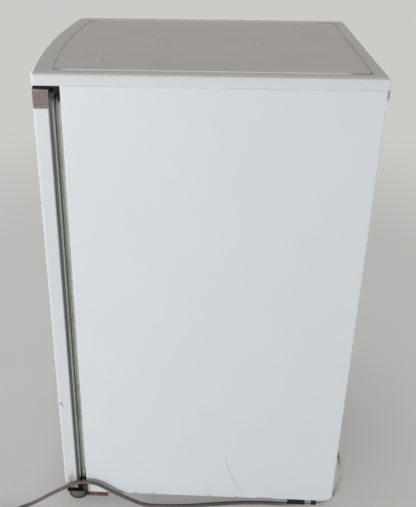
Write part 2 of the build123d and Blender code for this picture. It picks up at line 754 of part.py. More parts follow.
with BuildPart() as crisper_cover_trim:
    trim_z1 = hump_z + cover_thick + trim_rise
    trim_half = cavity_half - ridge_reach - 2.0
    block(-trim_half, trim_half, stack_y0, stack_y0 + trim_depth, trim_z1 - trim_height, trim_z1)
    fillet(crisper_cover_trim.edges().filter_by(Axis.X), trim_round)
    block(-half, half, groove_y0, back_y, hump_z, hump_z + cover_thick, Mode.SUBTRACT)
write(crisper_cover_trim, "crisper_cover_trim")

with BuildPart() as crisper_drawer:
    crisper_y0 = stack_y0 + pull_reach / 2
    pull_y0 = crisper_y0 - pull_reach
    open_tray(crisper_half, crisper_y0, crisper_y1, crisper_z0, crisper_z1, crisper_wall, crisper_corner)
    pull_z0 = crisper_z1 - pull_thick
    block(-pull_half, pull_half, pull_y0, crisper_y0 + crisper_wall / 2, pull_z0, crisper_z1)
    block(-pull_half, pull_half, pull_y0, pull_y0 + pull_thick, pull_z0 - pull_drop, pull_z0)
write(crisper_drawer, "crisper_drawer")

# ================================================================ ice box and its tray
hanger_height = 10.0
ice_z1 = cavity_z1 - hanger_height
ice_z0 = ice_z1 - 104.0
ice_half = cavity_half - 20.0
ice_wall = 1.6
ice_y0 = stack_y0 + 24.0
ice_y1 = cavity_y1 - 30.0
surround_half = cavity_half - 12.0
surround_rim = 8.0
surround_depth = 16.0
surround_step = 4.0  # how far the box's mouth sits in the surround, and the surround's edge inside it
surround_y0 = ice_y0 - surround_depth + surround_step
opening_half = ice_half - surround_step
flap_thick = 3.5
flap_y0 = surround_y0 + 2.5
flap_axis_y = flap_y0 + flap_thick / 2
flap_pin = 2.0
flap_barrel = 3.0
flap_axis_z = ice_z1 - 10.0
flap_half = opening_half - 1.5
flap_z0 = ice_z0 + 6.0
pin_reach = 4.0
ice_corner = 9.0
surround_corner = 8.0
surround_round = 1.5
opening_corner = 6.0
flap_corner = 6.0
flap_pull_half = 30.0
flap_pull_reach = 9.0
flap_pull_thick = 3.0
hanger_radius = 6.0
hanger_inset_x = 30.0
hanger_inset_y = 40.0

with BuildPart() as ice_box:
    block(-ice_half, ice_half, ice_y0, ice_y1, ice_z0, ice_z1)
    fillet(ice_box.edges().filter_by(Axis.Y), ice_corner)
    with BuildSketch(Plane.XZ.offset(-ice_y0)):
        with Locations((0, (ice_z0 + ice_z1) / 2)):
            inside_half, inside_height = ice_half - ice_wall, ice_z1 - ice_z0 - 2 * ice_wall
            RectangleRounded(2 * inside_half, inside_height, ice_corner - ice_wall)
    extrude(amount=-(ice_y1 - ice_y0 - ice_wall), mode=Mode.SUBTRACT)
write(ice_box, "ice_box")

with BuildPart() as ice_box_hangers:
    for x in (-ice_half + hanger_inset_x, ice_half - hanger_inset_x):
        for y in (ice_y0 + hanger_inset_y, ice_y1 - hanger_inset_y):
            post(x, y, ice_z1, cavity_z1, hanger_radius)
write(ice_box_hangers, "ice_box_hangers")

with BuildPart() as ice_box_surround:
    surround_z0, surround_z1 = ice_z0 - surround_rim, ice_z1 + surround_rim
    with BuildSketch(Plane.XZ.offset(-surround_y0)):
        with Locations((0, (surround_z0 + surround_z1) / 2)):
            RectangleRounded(2 * surround_half, surround_z1 - surround_z0, surround_corner)
    extrude(amount=-surround_depth)
    fillet(ice_box_surround.faces().sort_by(Axis.Y)[0].edges(), surround_round)
    with BuildSketch(Plane.XZ.offset(-surround_y0)):
        with Locations((0, (ice_z0 + ice_z1) / 2)):
            RectangleRounded(2 * opening_half, ice_z1 - ice_z0 - 2 * surround_step, opening_corner)
    extrude(amount=-surround_depth, mode=Mode.SUBTRACT)
    with BuildSketch(Plane.XZ.offset(-ice_y0)):
        with Locations((0, (ice_z0 + ice_z1) / 2)):
            RectangleRounded(2 * ice_half, ice_z1 - ice_z0, ice_corner)
    extrude(amount=-surround_depth, mode=Mode.SUBTRACT)
    bore_half = opening_half + pin_reach + slide_gap
    axle(-bore_half, bore_half, flap_axis_y, flap_axis_z, flap_pin + shaft_gap, Mode.SUBTRACT)
write(ice_box_surround, "ice_box_surround")

with BuildPart() as ice_box_flap:
    block(-flap_half, flap_half, flap_y0, flap_y0 + flap_thick, flap_z0, flap_axis_z)
    fillet(ice_box_flap.edges().filter_by(Axis.Y).group_by(Axis.Z)[0], flap_corner)
    axle(-flap_half, flap_half, flap_axis_y, flap_axis_z, flap_barrel)
    pin_half = opening_half + pin_reach
    axle(-pin_half, pin_half, flap_axis_y, flap_axis_z, flap_pin)
    grab_y0 = flap_y0 - flap_pull_reach
    grab_z0 = flap_z0 + flap_pull_reach
    grab_z1 = grab_z0 + flap_pull_thick
    block(-flap_pull_half, flap_pull_half, grab_y0, flap_y0, grab_z0, grab_z1)
    grab_y1 = grab_y0 + flap_pull_thick
    block(-flap_pull_half, flap_pull_half, grab_y0, grab_y1, flap_z0 + flap_pull_thick, grab_z0)
write(ice_box_flap, "ice_box_flap")

tray_wall = 2.0
tray_depth = 20.0
tray_y1 = shelf_y1 - 20.0
tray_half = cavity_half - ridge_reach - 2.0
tray_corner = 7.0
wing_thick = 2.5
tray_pull_half = 70.0
with BuildPart() as drip_tray:
    tray_z1 = ridge_tops["tray"] + slide_gap
    tray_y0 = stack_y0 + 6.0
    wing_z1 = tray_z1 + wing_thick
    open_tray(tray_half, tray_y0, tray_y1, tray_z1 - tray_depth, wing_z1, tray_wall, tray_corner)
    for side in (-1, 1):
        x0, x1 = side * (tray_half - tray_wall / 2), side * (cavity_half - shelf_gap)
        block(x0, x1, tray_y0 + tray_corner, tray_y1 - tray_corner, tray_z1, wing_z1)
    block(-tray_pull_half, tray_pull_half, stack_y0 - 3.0, tray_y0 + tray_wall / 2, tray_z1, wing_z1)
write(drip_tray, "drip_tray")

# ================================================================ thermostat, lamp and door switch
thermostat_x0 = cavity_half - 27.0
housing_height = 70.0
housing_z0 = upper_z + 36.0
housing_z1 = housing_z0 + housing_height
housing_y0 = stack_y0 + 62.0
housing_y1 = housing_y0 + 74.0
lamp_y1 = housing_y1 + 66.0
knob_radius = 17.0
knob_height = 11.0
knob_y = (housing_y0 + housing_y1) / 2
knob_z = (housing_z0 + housing_z1) / 2
spindle_radius = 3.0
housing_round = 4.0
spindle_reach = 9.0
knob_gap = 0.5
knob_round = 1.5
knob_flutes = 18
flute_radius = 2.2
knob_flange = 3.0
knob_bar_half = 12.0
knob_bar_rise = 4.0
cover_step = 3.0
bulb_radius = 8.5
cap_radius = 6.5
bulb_cap = 16.0
bulb_length = 44.0

with BuildPart() as thermostat_housing:
    block(thermostat_x0, cavity_half, housing_y0, housing_y1, housing_z0, housing_z1)
    fillet(thermostat_housing.faces().sort_by(Axis.X)[0].edges(), housing_round)
    axle(thermostat_x0 - spindle_reach, thermostat_x0 + housing_round, knob_y, knob_z, spindle_radius)
write(thermostat_housing, "thermostat_housing")

with BuildPart() as thermostat_knob:
    knob_x1 = thermostat_x0 - knob_gap
    knob_x0 = knob_x1 - knob_height
    axle(knob_x0, knob_x1, knob_y, knob_z, knob_radius)
    fillet(thermostat_knob.faces().sort_by(Axis.X)[0].edges(), knob_round)
    with BuildSketch(Plane.YZ.offset(knob_x0)):
        with Locations((knob_y, knob_z)):
            with PolarLocations(knob_radius + flute_radius / 2, knob_flutes):
                Circle(flute_radius)
    extrude(amount=knob_height - knob_flange, mode=Mode.SUBTRACT)
    bar_y0, bar_y1 = knob_y - spindle_radius, knob_y + spindle_radius
    block(knob_x0 - knob_bar_rise, knob_x0, bar_y0, bar_y1, knob_z - knob_bar_half, knob_z + knob_bar_half)
    spindle_x0 = thermostat_x0 - spindle_reach - knob_gap
    axle(spindle_x0, knob_x1, knob_y, knob_z, spindle_radius + shaft_gap, Mode.SUBTRACT)
write(thermostat_knob, "thermostat_knob")

with BuildPart() as lamp_cover:
    cover_x0 = thermostat_x0 + cover_step
    cover_z0, cover_z1 = housing_z0 + 2 * cover_step, housing_z1 - 2 * cover_step
    block(cover_x0, cavity_half, housing_y1, lamp_y1, cover_z0, cover_z1)
    fillet(lamp_cover.edges().filter_by(Axis.Z).sort_by(Axis.X)[:2].sort_by(Axis.Y)[-1], 2 * housing_round)
    lamp_x0 = cover_x0 + liner_wall
    lamp_z0, lamp_z1 = cover_z0 + liner_wall, cover_z1 - liner_wall
    block(lamp_x0, cavity_half, housing_y1, lamp_y1 - liner_wall, lamp_z0, lamp_z1, Mode.SUBTRACT)
write(lamp_cover, "lamp_cover")

with BuildPart() as lamp_bulb:
    bulb_x = (lamp_x0 + cavity_half) / 2
    peg(bulb_x, housing_y1, housing_y1 + bulb_cap, knob_z, cap_radius)
    peg(bulb_x, housing_y1 + bulb_cap, housing_y1 + bulb_length, knob_z, bulb_radius)
    fillet(lamp_bulb.faces().sort_by(Axis.Y)[-1].edges(), bulb_radius - 1.5)
write(lamp_bulb, "lamp_bulb")

switch_x = 120.0
switch_y0 = dike_y + 12.0
switch_y1 = switch_y0 + 28.0
switch_z0 = cavity_z1 - 20.0
plunger_z = cavity_z1 - 13.0
plunger_radius = 3.5
switch_half = 12.0
switch_round = 3.0
plunger_length = 27.7
plunger_room = 2.0
plunger_round = 1.2

with BuildPart() as door_switch_body:
    block(switch_x - switch_half, switch_x + switch_half, switch_y0, switch_y1, switch_z0, cavity_z1)
    fillet(door_switch_body.edges().filter_by(Axis.Y).group_by(Axis.Z)[0], switch_round)
    plunger_y0 = dike_y + slide_gap
    plunger_y1 = plunger_y0 + plunger_length
    bore = plunger_radius + shaft_gap
    peg(switch_x, switch_y0, plunger_y1 + plunger_room, plunger_z, bore, Mode.SUBTRACT)
write(door_switch_body, "door_switch_body")

with BuildPart() as door_switch_plunger:
    peg(switch_x, plunger_y0, plunger_y1, plunger_z, plunger_radius)
    fillet(door_switch_plunger.faces().sort_by(Axis.Y)[0].edges(), plunger_round)
write(door_switch_plunger, "door_switch_plunger")

# ================================================================ compressor bay
pot_x = -30.0
pot_y = (bay_y + back_y) / 2 + 2.0
pot_radius = 60.0
foot_plate = 3.0
pot_z0 = base_z1 + grommet_height
pot_z1 = pot_z0 + pot_height
pot_seam_z = pot_z0 + 66.0
foot_spread_x = 74.0
foot_spread_y = 42.0
bolt_radius = 3.0
grommet_radius = 10.0
ear_margin = 13.0
pot_corner_z = pot_z0 + 25.0
seam_reach = 3.5
seam_height = 4.0
crown_radius = 28.0
crown_z0 = pot_z1 - 30.0
grommet_gap = 0.2
washer_radius = 8.0
washer_thick = 1.5
nut_radius = 5.5
nut_height = 4.0

with BuildPart() as compressor:
    with BuildSketch(Plane(origin=(pot_x, pot_y, 0), x_dir=(1, 0, 0), z_dir=(0, -1, 0))):
        with BuildLine():
            pot_bottom = pot_z0 + foot_plate
            flat_radius = pot_radius - 22.0
            upper_radius = pot_radius - 1.5
            seam_z1 = pot_seam_z + seam_height
            Line((0, pot_bottom), (flat_radius, pot_bottom))
            TangentArc((flat_radius, pot_bottom), (pot_radius, pot_corner_z), tangent=(1, 0))
            Polyline(
                (pot_radius, pot_corner_z),
                (pot_radius, pot_seam_z),
                (pot_radius + seam_reach, pot_seam_z),
                (pot_radius + seam_reach, seam_z1),
                (upper_radius, seam_z1),
                (upper_radius, crown_z0),
            )
            shoulder = (pot_radius - 13.0, pot_z1 - 9.0)
            ThreePointArc((upper_radius, crown_z0), shoulder, (crown_radius, pot_z1))
            Polyline((crown_radius, pot_z1), (0, pot_z1), (0, pot_bottom))
        make_face()
    revolve(axis=Axis((pot_x, pot_y, 0), (0, 0, 1)))
    ear_x, ear_y = foot_spread_x + ear_margin, foot_spread_y + ear_margin
    with BuildSketch(Plane.XY.offset(pot_z0)):
        with Locations((pot_x, pot_y)):
            RectangleRounded(2 * ear_x, 2 * ear_y, 10.0)
            with GridLocations(2 * foot_spread_x, 2 * foot_spread_y, 2, 2):
                Circle(bolt_radius + grommet_gap, mode=Mode.SUBTRACT)
    extrude(amount=foot_plate)
write(compressor, "compressor")

with BuildPart() as compressor_grommets:
    with Locations((pot_x, pot_y, base_z1 + grommet_height / 2)):
        with GridLocations(2 * foot_spread_x, 2 * foot_spread_y, 2, 2):
            Cylinder(grommet_radius, grommet_height)
            Cylinder(bolt_radius + grommet_gap, grommet_height, mode=Mode.SUBTRACT)
write(compressor_grommets, "compressor_grommets")

with BuildPart() as compressor_bolts:
    bolt_z1 = pot_z0 + foot_plate
    with Locations((pot_x, pot_y, (base_z1 + bolt_z1) / 2)):
        with GridLocations(2 * foot_spread_x, 2 * foot_spread_y, 2, 2):
            Cylinder(bolt_radius, bolt_z1 - base_z1)
    with BuildSketch(Plane.XY.offset(bolt_z1)):
        with Locations((pot_x, pot_y)):
            with GridLocations(2 * foot_spread_x, 2 * foot_spread_y, 2, 2):
                Circle(washer_radius)
    extrude(amount=washer_thick)
    with BuildSketch(Plane.XY.offset(bolt_z1 + washer_thick)):
        with Locations((pot_x, pot_y)):
            with GridLocations(2 * foot_spread_x, 2 * foot_spread_y, 2, 2):
                RegularPolygon(nut_radius, 6)
    extrude(amount=nut_height)
write(compressor_bolts, "compressor_bolts")

relay_half = 23.0
relay_z0 = pot_z0 + 16.0
relay_z1 = relay_z0 + 2 * relay_half
relay_x0 = pot_x + math.sqrt(pot_radius**2 - relay_half**2)
relay_x1 = pot_x + pot_radius + 28.0
relay_corner = 6.0
with BuildPart() as relay_cover:
    block(relay_x0, relay_x1, pot_y - relay_half, pot_y + relay_half, relay_z0, relay_z1)
    fillet(relay_cover.edges().filter_by(Axis.Z).group_by(Axis.X)[-1], relay_corner)
    fillet(relay_cover.faces().sort_by(Axis.Z)[-1].edges(), relay_corner / 4)
    post(pot_x, pot_y, base_z1, bay_z1, pot_radius, Mode.SUBTRACT)
write(relay_cover, "relay_cover")

dish_half_x = 66.0
dish_half_y = 52.0
dish_corner = 12.0
with BuildPart() as evaporating_dish:
    with Locations((pot_x, pot_y, pot_z1 + dish_height / 2)):
        dish = Box(2 * dish_half_x, 2 * dish_half_y, dish_height)
    fillet(dish.edges().filter_by(Axis.Z), dish_corner)
    with BuildSketch(Plane.XY.offset(pot_z1 + liner_wall)):
        with Locations((pot_x, pot_y)):
            inside_x, inside_y = 2 * (dish_half_x - liner_wall), 2 * (dish_half_y - liner_wall)
            RectangleRounded(inside_x, inside_y, dish_corner - liner_wall)
    extrude(amount=dish_height, mode=Mode.SUBTRACT)
write(evaporating_dish, "evaporating_dish")

spout_radius = 8.0
spout_z0 = pot_z1 + dish_height - spout_radius
with BuildPart() as drain_spout:
    post(pot_x, pot_y, spout_z0, bay_z1, spout_radius)
    post(pot_x, pot_y, spout_z0, bay_z1, spout_radius - liner_wall, Mode.SUBTRACT)
write(drain_spout, "drain_spout")

drier_x = 150.0
drier_y = back_y - 38.0
drier_z0 = base_z1 + 46.0
drier_z1 = drier_z0 + 84.0
drier_radius = 9.5
drier_round = 5.0
drier_stem = 2.5
with BuildPart() as filter_drier:
    post(drier_x, drier_y, drier_z0, drier_z1, drier_radius)
    fillet(filter_drier.edges().filter_by(GeomType.CIRCLE), drier_round)
    post(drier_x, drier_y, drier_z1 - sheet, bay_z1, drier_stem)
write(filter_drier, "filter_drier")

# Copper pipes. Two start inside the pot's welds, and one under the drier, and all end at the sheet
# over the bay.
suction_radius = 4.0
discharge_radius = 3.0
capillary_radius = 1.2
weld_depth = 3.0
suction_x = pot_x - pot_radius - 26.0
suction_z = pot_z0 + 40.0
discharge_y = pot_y + 26.0
discharge_z = pot_z0 + 52.0
discharge_x = pot_x - math.sqrt(pot_radius**2 - (discharge_y - pot_y) ** 2)
step_x = suction_x - 40.0
step_z = bay_z1 - 26.0
loop_x = drier_x - 36.0
loop_z = drier_z0 - 24.0
suction_bend = 16.0
discharge_bend = 9.0
capillary_bend = 11.0

with BuildPart() as refrigerant_pipes:
    suction = [
        (pot_x - pot_radius + weld_depth, pot_y, suction_z),
        (suction_x, pot_y, suction_z),
        (suction_x, pot_y, bay_z1),
    ]
    pipe(suction, [suction_bend], suction_radius)
    discharge = [
        (discharge_x + weld_depth, discharge_y, discharge_z),
        (suction_x, discharge_y, discharge_z),
        (suction_x, discharge_y, step_z),
        (step_x, discharge_y, step_z),
        (step_x, discharge_y, bay_z1),
    ]
    pipe(discharge, [discharge_bend] * 3, discharge_radius)
    capillary = [
        (drier_x, drier_y, drier_z0),
        (drier_x, drier_y, loop_z),
        (loop_x, drier_y, loop_z),
        (loop_x, drier_y, bay_z1),
    ]
    pipe(capillary, [capillary_bend] * 2, capillary_radius)
write(refrigerant_pipes, "refrigerant_pipes")

# ================================================================ mains cord
cord_radius = 3.5
exit_x, exit_y, exit_z = 120.0, 272.0, 188.0
gland_half = 13.0
gland_z0 = exit_z + 26.0
gland_z1 = exit_z + 44.0
gland_y0 = back_panel_y + sheet
gland_y1 = exit_y + 9.0
gland_round = 3.0
boot_wall = 1.2
boot_root = 3.2
with BuildPart() as strain_relief:
    block(exit_x - gland_half, exit_x + gland_half, gland_y0, gland_y1, gland_z0, gland_z1)
    fillet(strain_relief.edges().filter_by(Axis.Y), gland_round)
    with BuildSketch(Plane.XY.offset(exit_z)):
        with Locations((exit_x, exit_y)):
            Circle(cord_radius + boot_wall)
    with BuildSketch(Plane.XY.offset(gland_z0)):
        with Locations((exit_x, exit_y)):
            Circle(cord_radius + boot_root)
    loft()
write(strain_relief, "strain_relief")

floor_z = cord_radius + 0.1
coil_x, coil_y = 322.0, -390.0
coil_mid = 38.5
coil_outer = coil_mid + 2 * cord_radius
coil_inner = coil_mid - 2 * cord_radius
coil_height = 4 * cord_radius
coil_turns = 4
tail_start = 23.0
tail_end = 40.0
cord_points = [
    (exit_x, exit_y, exit_z),
    (120.0, 272.0, 162.0),
    (134.0, 271.5, 138.0),
    (162.0, 270.5, 126.0),
    (190.0, 270.5, 122.0),
    (210.0, 274.5, 116.0),
    (226.5, 277.5, 95.0),
    (225.5, 278.0, 71.0),
    (219.0, 277.0, 43.0),
    (217.5, 266.0, 17.0),
    (217.0, 241.5, floor_z),
    (218.0, 196.0, floor_z),
    (216.5, 138.0, floor_z),
    (219.5, 84.0, floor_z),
    (226.5, 32.0, floor_z),
    (233.0, -16.0, floor_z),
    (235.0, -60.0, floor_z),
    (236.0, -98.0, floor_z),
    (237.5, -138.5, 27.5),
    (238.0, -167.5, 46.0),
    (238.5, -193.5, 64.5),
    (240.5, -227.0, 66.5),
    (244.5, -261.0, 47.5),
    (246.5, -286.0, 31.5),
    (248.5, -312.0, 13.0),
    (253.0, -339.0, floor_z),
    (265.0, -360.0, floor_z),
    (277.0, -379.0, floor_z),
    (283.0, -396.0, floor_z),
]


def arc_radii(points):
    """The largest tidy arc at each corner: 0.45 of its shorter run over the tangent of half its turn."""
    radii = []
    for a, b, c in zip(points, points[1:], points[2:]):
        first, second = Vector(*b) - Vector(*a), Vector(*c) - Vector(*b)
        half_turn = math.radians(first.get_angle(second)) / 2
        radii.append(0.45 * min(first.length, second.length) / math.tan(half_turn))
    return radii


with BuildPart() as mains_cord:
    cord_radii = arc_radii(cord_points)
    cord_length = pipe(cord_points, cord_radii, cord_radius)
    lead_volume = mains_cord.part.volume
    tail_x0, tail_x1 = coil_x + tail_start, coil_x + tail_end
    axle(tail_x0, tail_x1, coil_y - coil_mid, coil_height - cord_radius, cord_radius)
write(mains_cord, "mains_cord")
section = math.pi * cord_radius**2
print("cord radii", [round(r) for r in cord_radii])
print("cord volume", round(lead_volume), "section times length", round(section * cord_length))
print("cord length", round(cord_length), "coiled", round(coil_turns * 2 * math.pi * coil_mid))

with BuildPart() as cord_coil:
    post(coil_x, coil_y, 0, coil_height, coil_outer)
    fillet(cord_coil.edges().filter_by(GeomType.CIRCLE), cord_radius)
    post(coil_x, coil_y, 0, coil_height, coil_inner, Mode.SUBTRACT)
write(cord_coil, "cord_coil")

plug_z = coil_height - cord_radius
plug_y = coil_y - coil_mid
boot_length = 22.0
plug_length = 38.0
plug_radius = 12.5
plug_round = 2.5
prong_length = 19.0
prong_spread = 9.5
prong_radius = 2.4
with BuildPart() as mains_plug:
    plug_x0 = tail_x1 + boot_length
    plug_x1 = plug_x0 + plug_length
    axle(plug_x0, plug_x1, plug_y, plug_radius, plug_radius)
    fillet(mains_plug.edges().filter_by(GeomType.CIRCLE), plug_round)
    with BuildSketch(Plane.YZ.offset(tail_x1)):
        with Locations((plug_y, plug_z)):
            Circle(cord_radius + boot_wall)
    with BuildSketch(Plane.YZ.offset(plug_x0 + sheet)):
        with Locations((plug_y, plug_z)):
            Circle(cord_radius + boot_root)
    loft()
    for pin_side in (-1, 1):
        prong_y = plug_y + pin_side * prong_spread
        axle(plug_x1 - sheet, plug_x1 + prong_length, prong_y, plug_radius, prong_radius)
write(mains_plug, "mains_plug")
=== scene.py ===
import json
from math import cos, pi, radians, sin, sqrt

import bpy
from mathutils import Matrix, Vector


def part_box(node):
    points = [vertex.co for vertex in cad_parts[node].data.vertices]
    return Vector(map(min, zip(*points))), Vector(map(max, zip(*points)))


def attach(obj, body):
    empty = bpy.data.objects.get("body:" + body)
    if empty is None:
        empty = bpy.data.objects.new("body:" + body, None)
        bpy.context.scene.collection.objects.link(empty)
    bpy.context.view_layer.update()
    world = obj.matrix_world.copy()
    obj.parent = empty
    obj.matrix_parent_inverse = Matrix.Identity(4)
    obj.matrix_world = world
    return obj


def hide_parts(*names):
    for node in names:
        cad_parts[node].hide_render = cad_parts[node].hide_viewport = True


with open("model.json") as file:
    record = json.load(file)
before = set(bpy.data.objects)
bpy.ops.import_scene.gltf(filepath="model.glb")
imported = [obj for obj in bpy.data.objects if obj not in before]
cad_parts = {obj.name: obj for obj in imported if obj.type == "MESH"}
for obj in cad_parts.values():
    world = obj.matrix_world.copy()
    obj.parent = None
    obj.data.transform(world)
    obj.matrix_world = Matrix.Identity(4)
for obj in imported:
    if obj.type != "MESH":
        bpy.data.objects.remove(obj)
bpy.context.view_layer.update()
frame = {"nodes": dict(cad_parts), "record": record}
NODES = frame["nodes"]
scene = bpy.context.scene
BODIES = frame["record"]["behaviour"]["bodies"]
BODY_OF = {node: body for body, nodes in BODIES.items() for node in nodes}
SLOT_OF = {part["node"]: part["material_slot"] for part in frame["record"]["subparts"]}


def link_new(name, data):
    """A new object in the scene."""
    piece = bpy.data.objects.new(name, data)
    scene.collection.objects.link(piece)
    return piece


# ---- camera
EYE = Vector((1.28003, 0.00732, 1.1124))
YAW = -0.04551
PITCH_DOWN = 0.47832
ROLL = 0.00492
LENS = 52.04
SHIFT = (0.0645, -0.0067)


def make_camera():
    """The camera stands off the hinge side, a little above the worktop."""
    level = cos(PITCH_DOWN)
    ahead = Vector((-cos(YAW) * level, sin(YAW) * level, -sin(PITCH_DOWN)))
    right = Vector((sin(YAW), cos(YAW), 0.0))
    up = right.cross(ahead)
    across = right * cos(ROLL) + up * sin(ROLL)
    upright = up * cos(ROLL) - right * sin(ROLL)
    data = bpy.data.cameras.new("camera")
    data.lens = LENS
    data.shift_x, data.shift_y = SHIFT
    camera = link_new("camera", data)
    turn = Matrix((across, upright, -ahead)).transposed()
    camera.matrix_world = Matrix.Translation(EYE) @ turn.to_4x4()
    scene.camera = camera


make_camera()

# ---- mains cord
CORD_DIAMETER = 0.007
ON_FLOOR = 0.0036
CORD_ROUTE = [
    # From the gland down the back, and round the rear corner to the floor.
    (0.12, 0.272, 0.188), (0.12, 0.272, 0.162), (0.134, 0.2715, 0.138), (0.162, 0.2705, 0.126),
    (0.19, 0.2705, 0.122), (0.21, 0.2745, 0.116), (0.2245, 0.2765, 0.096), (0.2205, 0.2765, 0.071),
    (0.2145, 0.275, 0.043), (0.2165, 0.263, 0.017), (0.217, 0.2415, ON_FLOOR),
    # Forward beside the cabinet.
    (0.218, 0.196, ON_FLOOR), (0.2165, 0.138, ON_FLOOR), (0.2195, 0.084, ON_FLOOR), (0.2265, 0.032, ON_FLOOR),
    (0.233, -0.016, ON_FLOOR), (0.235, -0.06, ON_FLOOR), (0.236, -0.098, ON_FLOOR),
    # Over the hinge foot's ear, and down again.
    (0.2375, -0.1385, 0.0265), (0.238, -0.1675, 0.0445), (0.2385, -0.1935, 0.0625), (0.2405, -0.227, 0.064),
    (0.2445, -0.261, 0.0465), (0.2465, -0.286, 0.0315), (0.2485, -0.312, 0.0135),
    # To the coil.
    (0.253, -0.339, ON_FLOOR), (0.265, -0.36, ON_FLOOR), (0.277, -0.379, ON_FLOOR),
]
COIL_CENTRE = (0.322, -0.39)
COIL_TURN_POINTS = 18
# Where the coil's strand lies as it winds: angle from +X in degrees, radius and height.
COIL_PLACES = [
    (189, 0.042, ON_FLOOR), (470, 0.042, ON_FLOOR), (545, 0.035, ON_FLOOR), (745, 0.035, ON_FLOOR),
    (825, 0.035, 0.0107), (1035, 0.035, 0.0107), (1115, 0.0421, 0.0107), (1325, 0.0421, 0.0107),
    (1400, 0.0385, 0.017), (1710, 0.0385, 0.017),
]
TAIL_Y = -0.4285
CORD_TAIL = [(x, TAIL_Y, z) for x, z in ((0.336, 0.0158), (0.35, 0.0125), (0.36, 0.0107), (0.368, 0.0107))]


def smooth_line(name, points, radius, sides, closed=False):
    """A round-section curve that follows its points smoothly."""
    curve = bpy.data.curves.new(name, "CURVE")
    curve.dimensions = "3D"
    line = curve.splines.new("NURBS")
    line.points.add(len(points) - 1)
    for point, place in zip(line.points, points):
        point.co = (*place, 1.0)
    line.order_u = 3
    line.use_endpoint_u = not closed
    line.use_cyclic_u = closed
    line.resolution_u = 6
    curve.bevel_depth = radius
    curve.bevel_resolution = sides
    curve.use_fill_caps = not closed
    return link_new(name, curve)


def coil_place(angle):
    """Radius and height of the strand, eased between the listed places."""
    for (a0, r0, z0), (a1, r1, z1) in zip(COIL_PLACES, COIL_PLACES[1:]):
        if a0 <= angle <= a1:
            share = (angle - a0) / (a1 - a0)
            share = share * share * (3 - 2 * share)
            return r0 + (r1 - r0) * share, z0 + (z1 - z0) * share
    return COIL_PLACES[-1][1:]


def make_cord():
    """The cord runs from the back to the front along the floor, over the hinge foot, and into its coil."""
    points = list(CORD_ROUTE)
    step = 360 / COIL_TURN_POINTS
    outwards = 1 / cos(pi / COIL_TURN_POINTS)
    first, last = COIL_PLACES[0][0], COIL_PLACES[-1][0]
    for i in range(int((last - first) / step) + 1):
        angle = first + i * step
        radius, z = coil_place(angle)
        x = COIL_CENTRE[0] + radius * outwards * cos(radians(angle))
        y = COIL_CENTRE[1] + radius * outwards * sin(radians(angle))
        points.append((x, y, z))
    return smooth_line("mains_lead", points + CORD_TAIL, CORD_DIAMETER / 2, 4)


mains_lead = make_cord()


# ---- finishes
def linear(rgb):
    """A colour as it is mixed, 0 to 255, in the units that a shader works in."""
    shares = [c / 255 for c in rgb]
    return tuple(s / 12.92 if s < 0.04045 else ((s + 0.055) / 1.055) ** 2.4 for s in shares) + (1.0,)


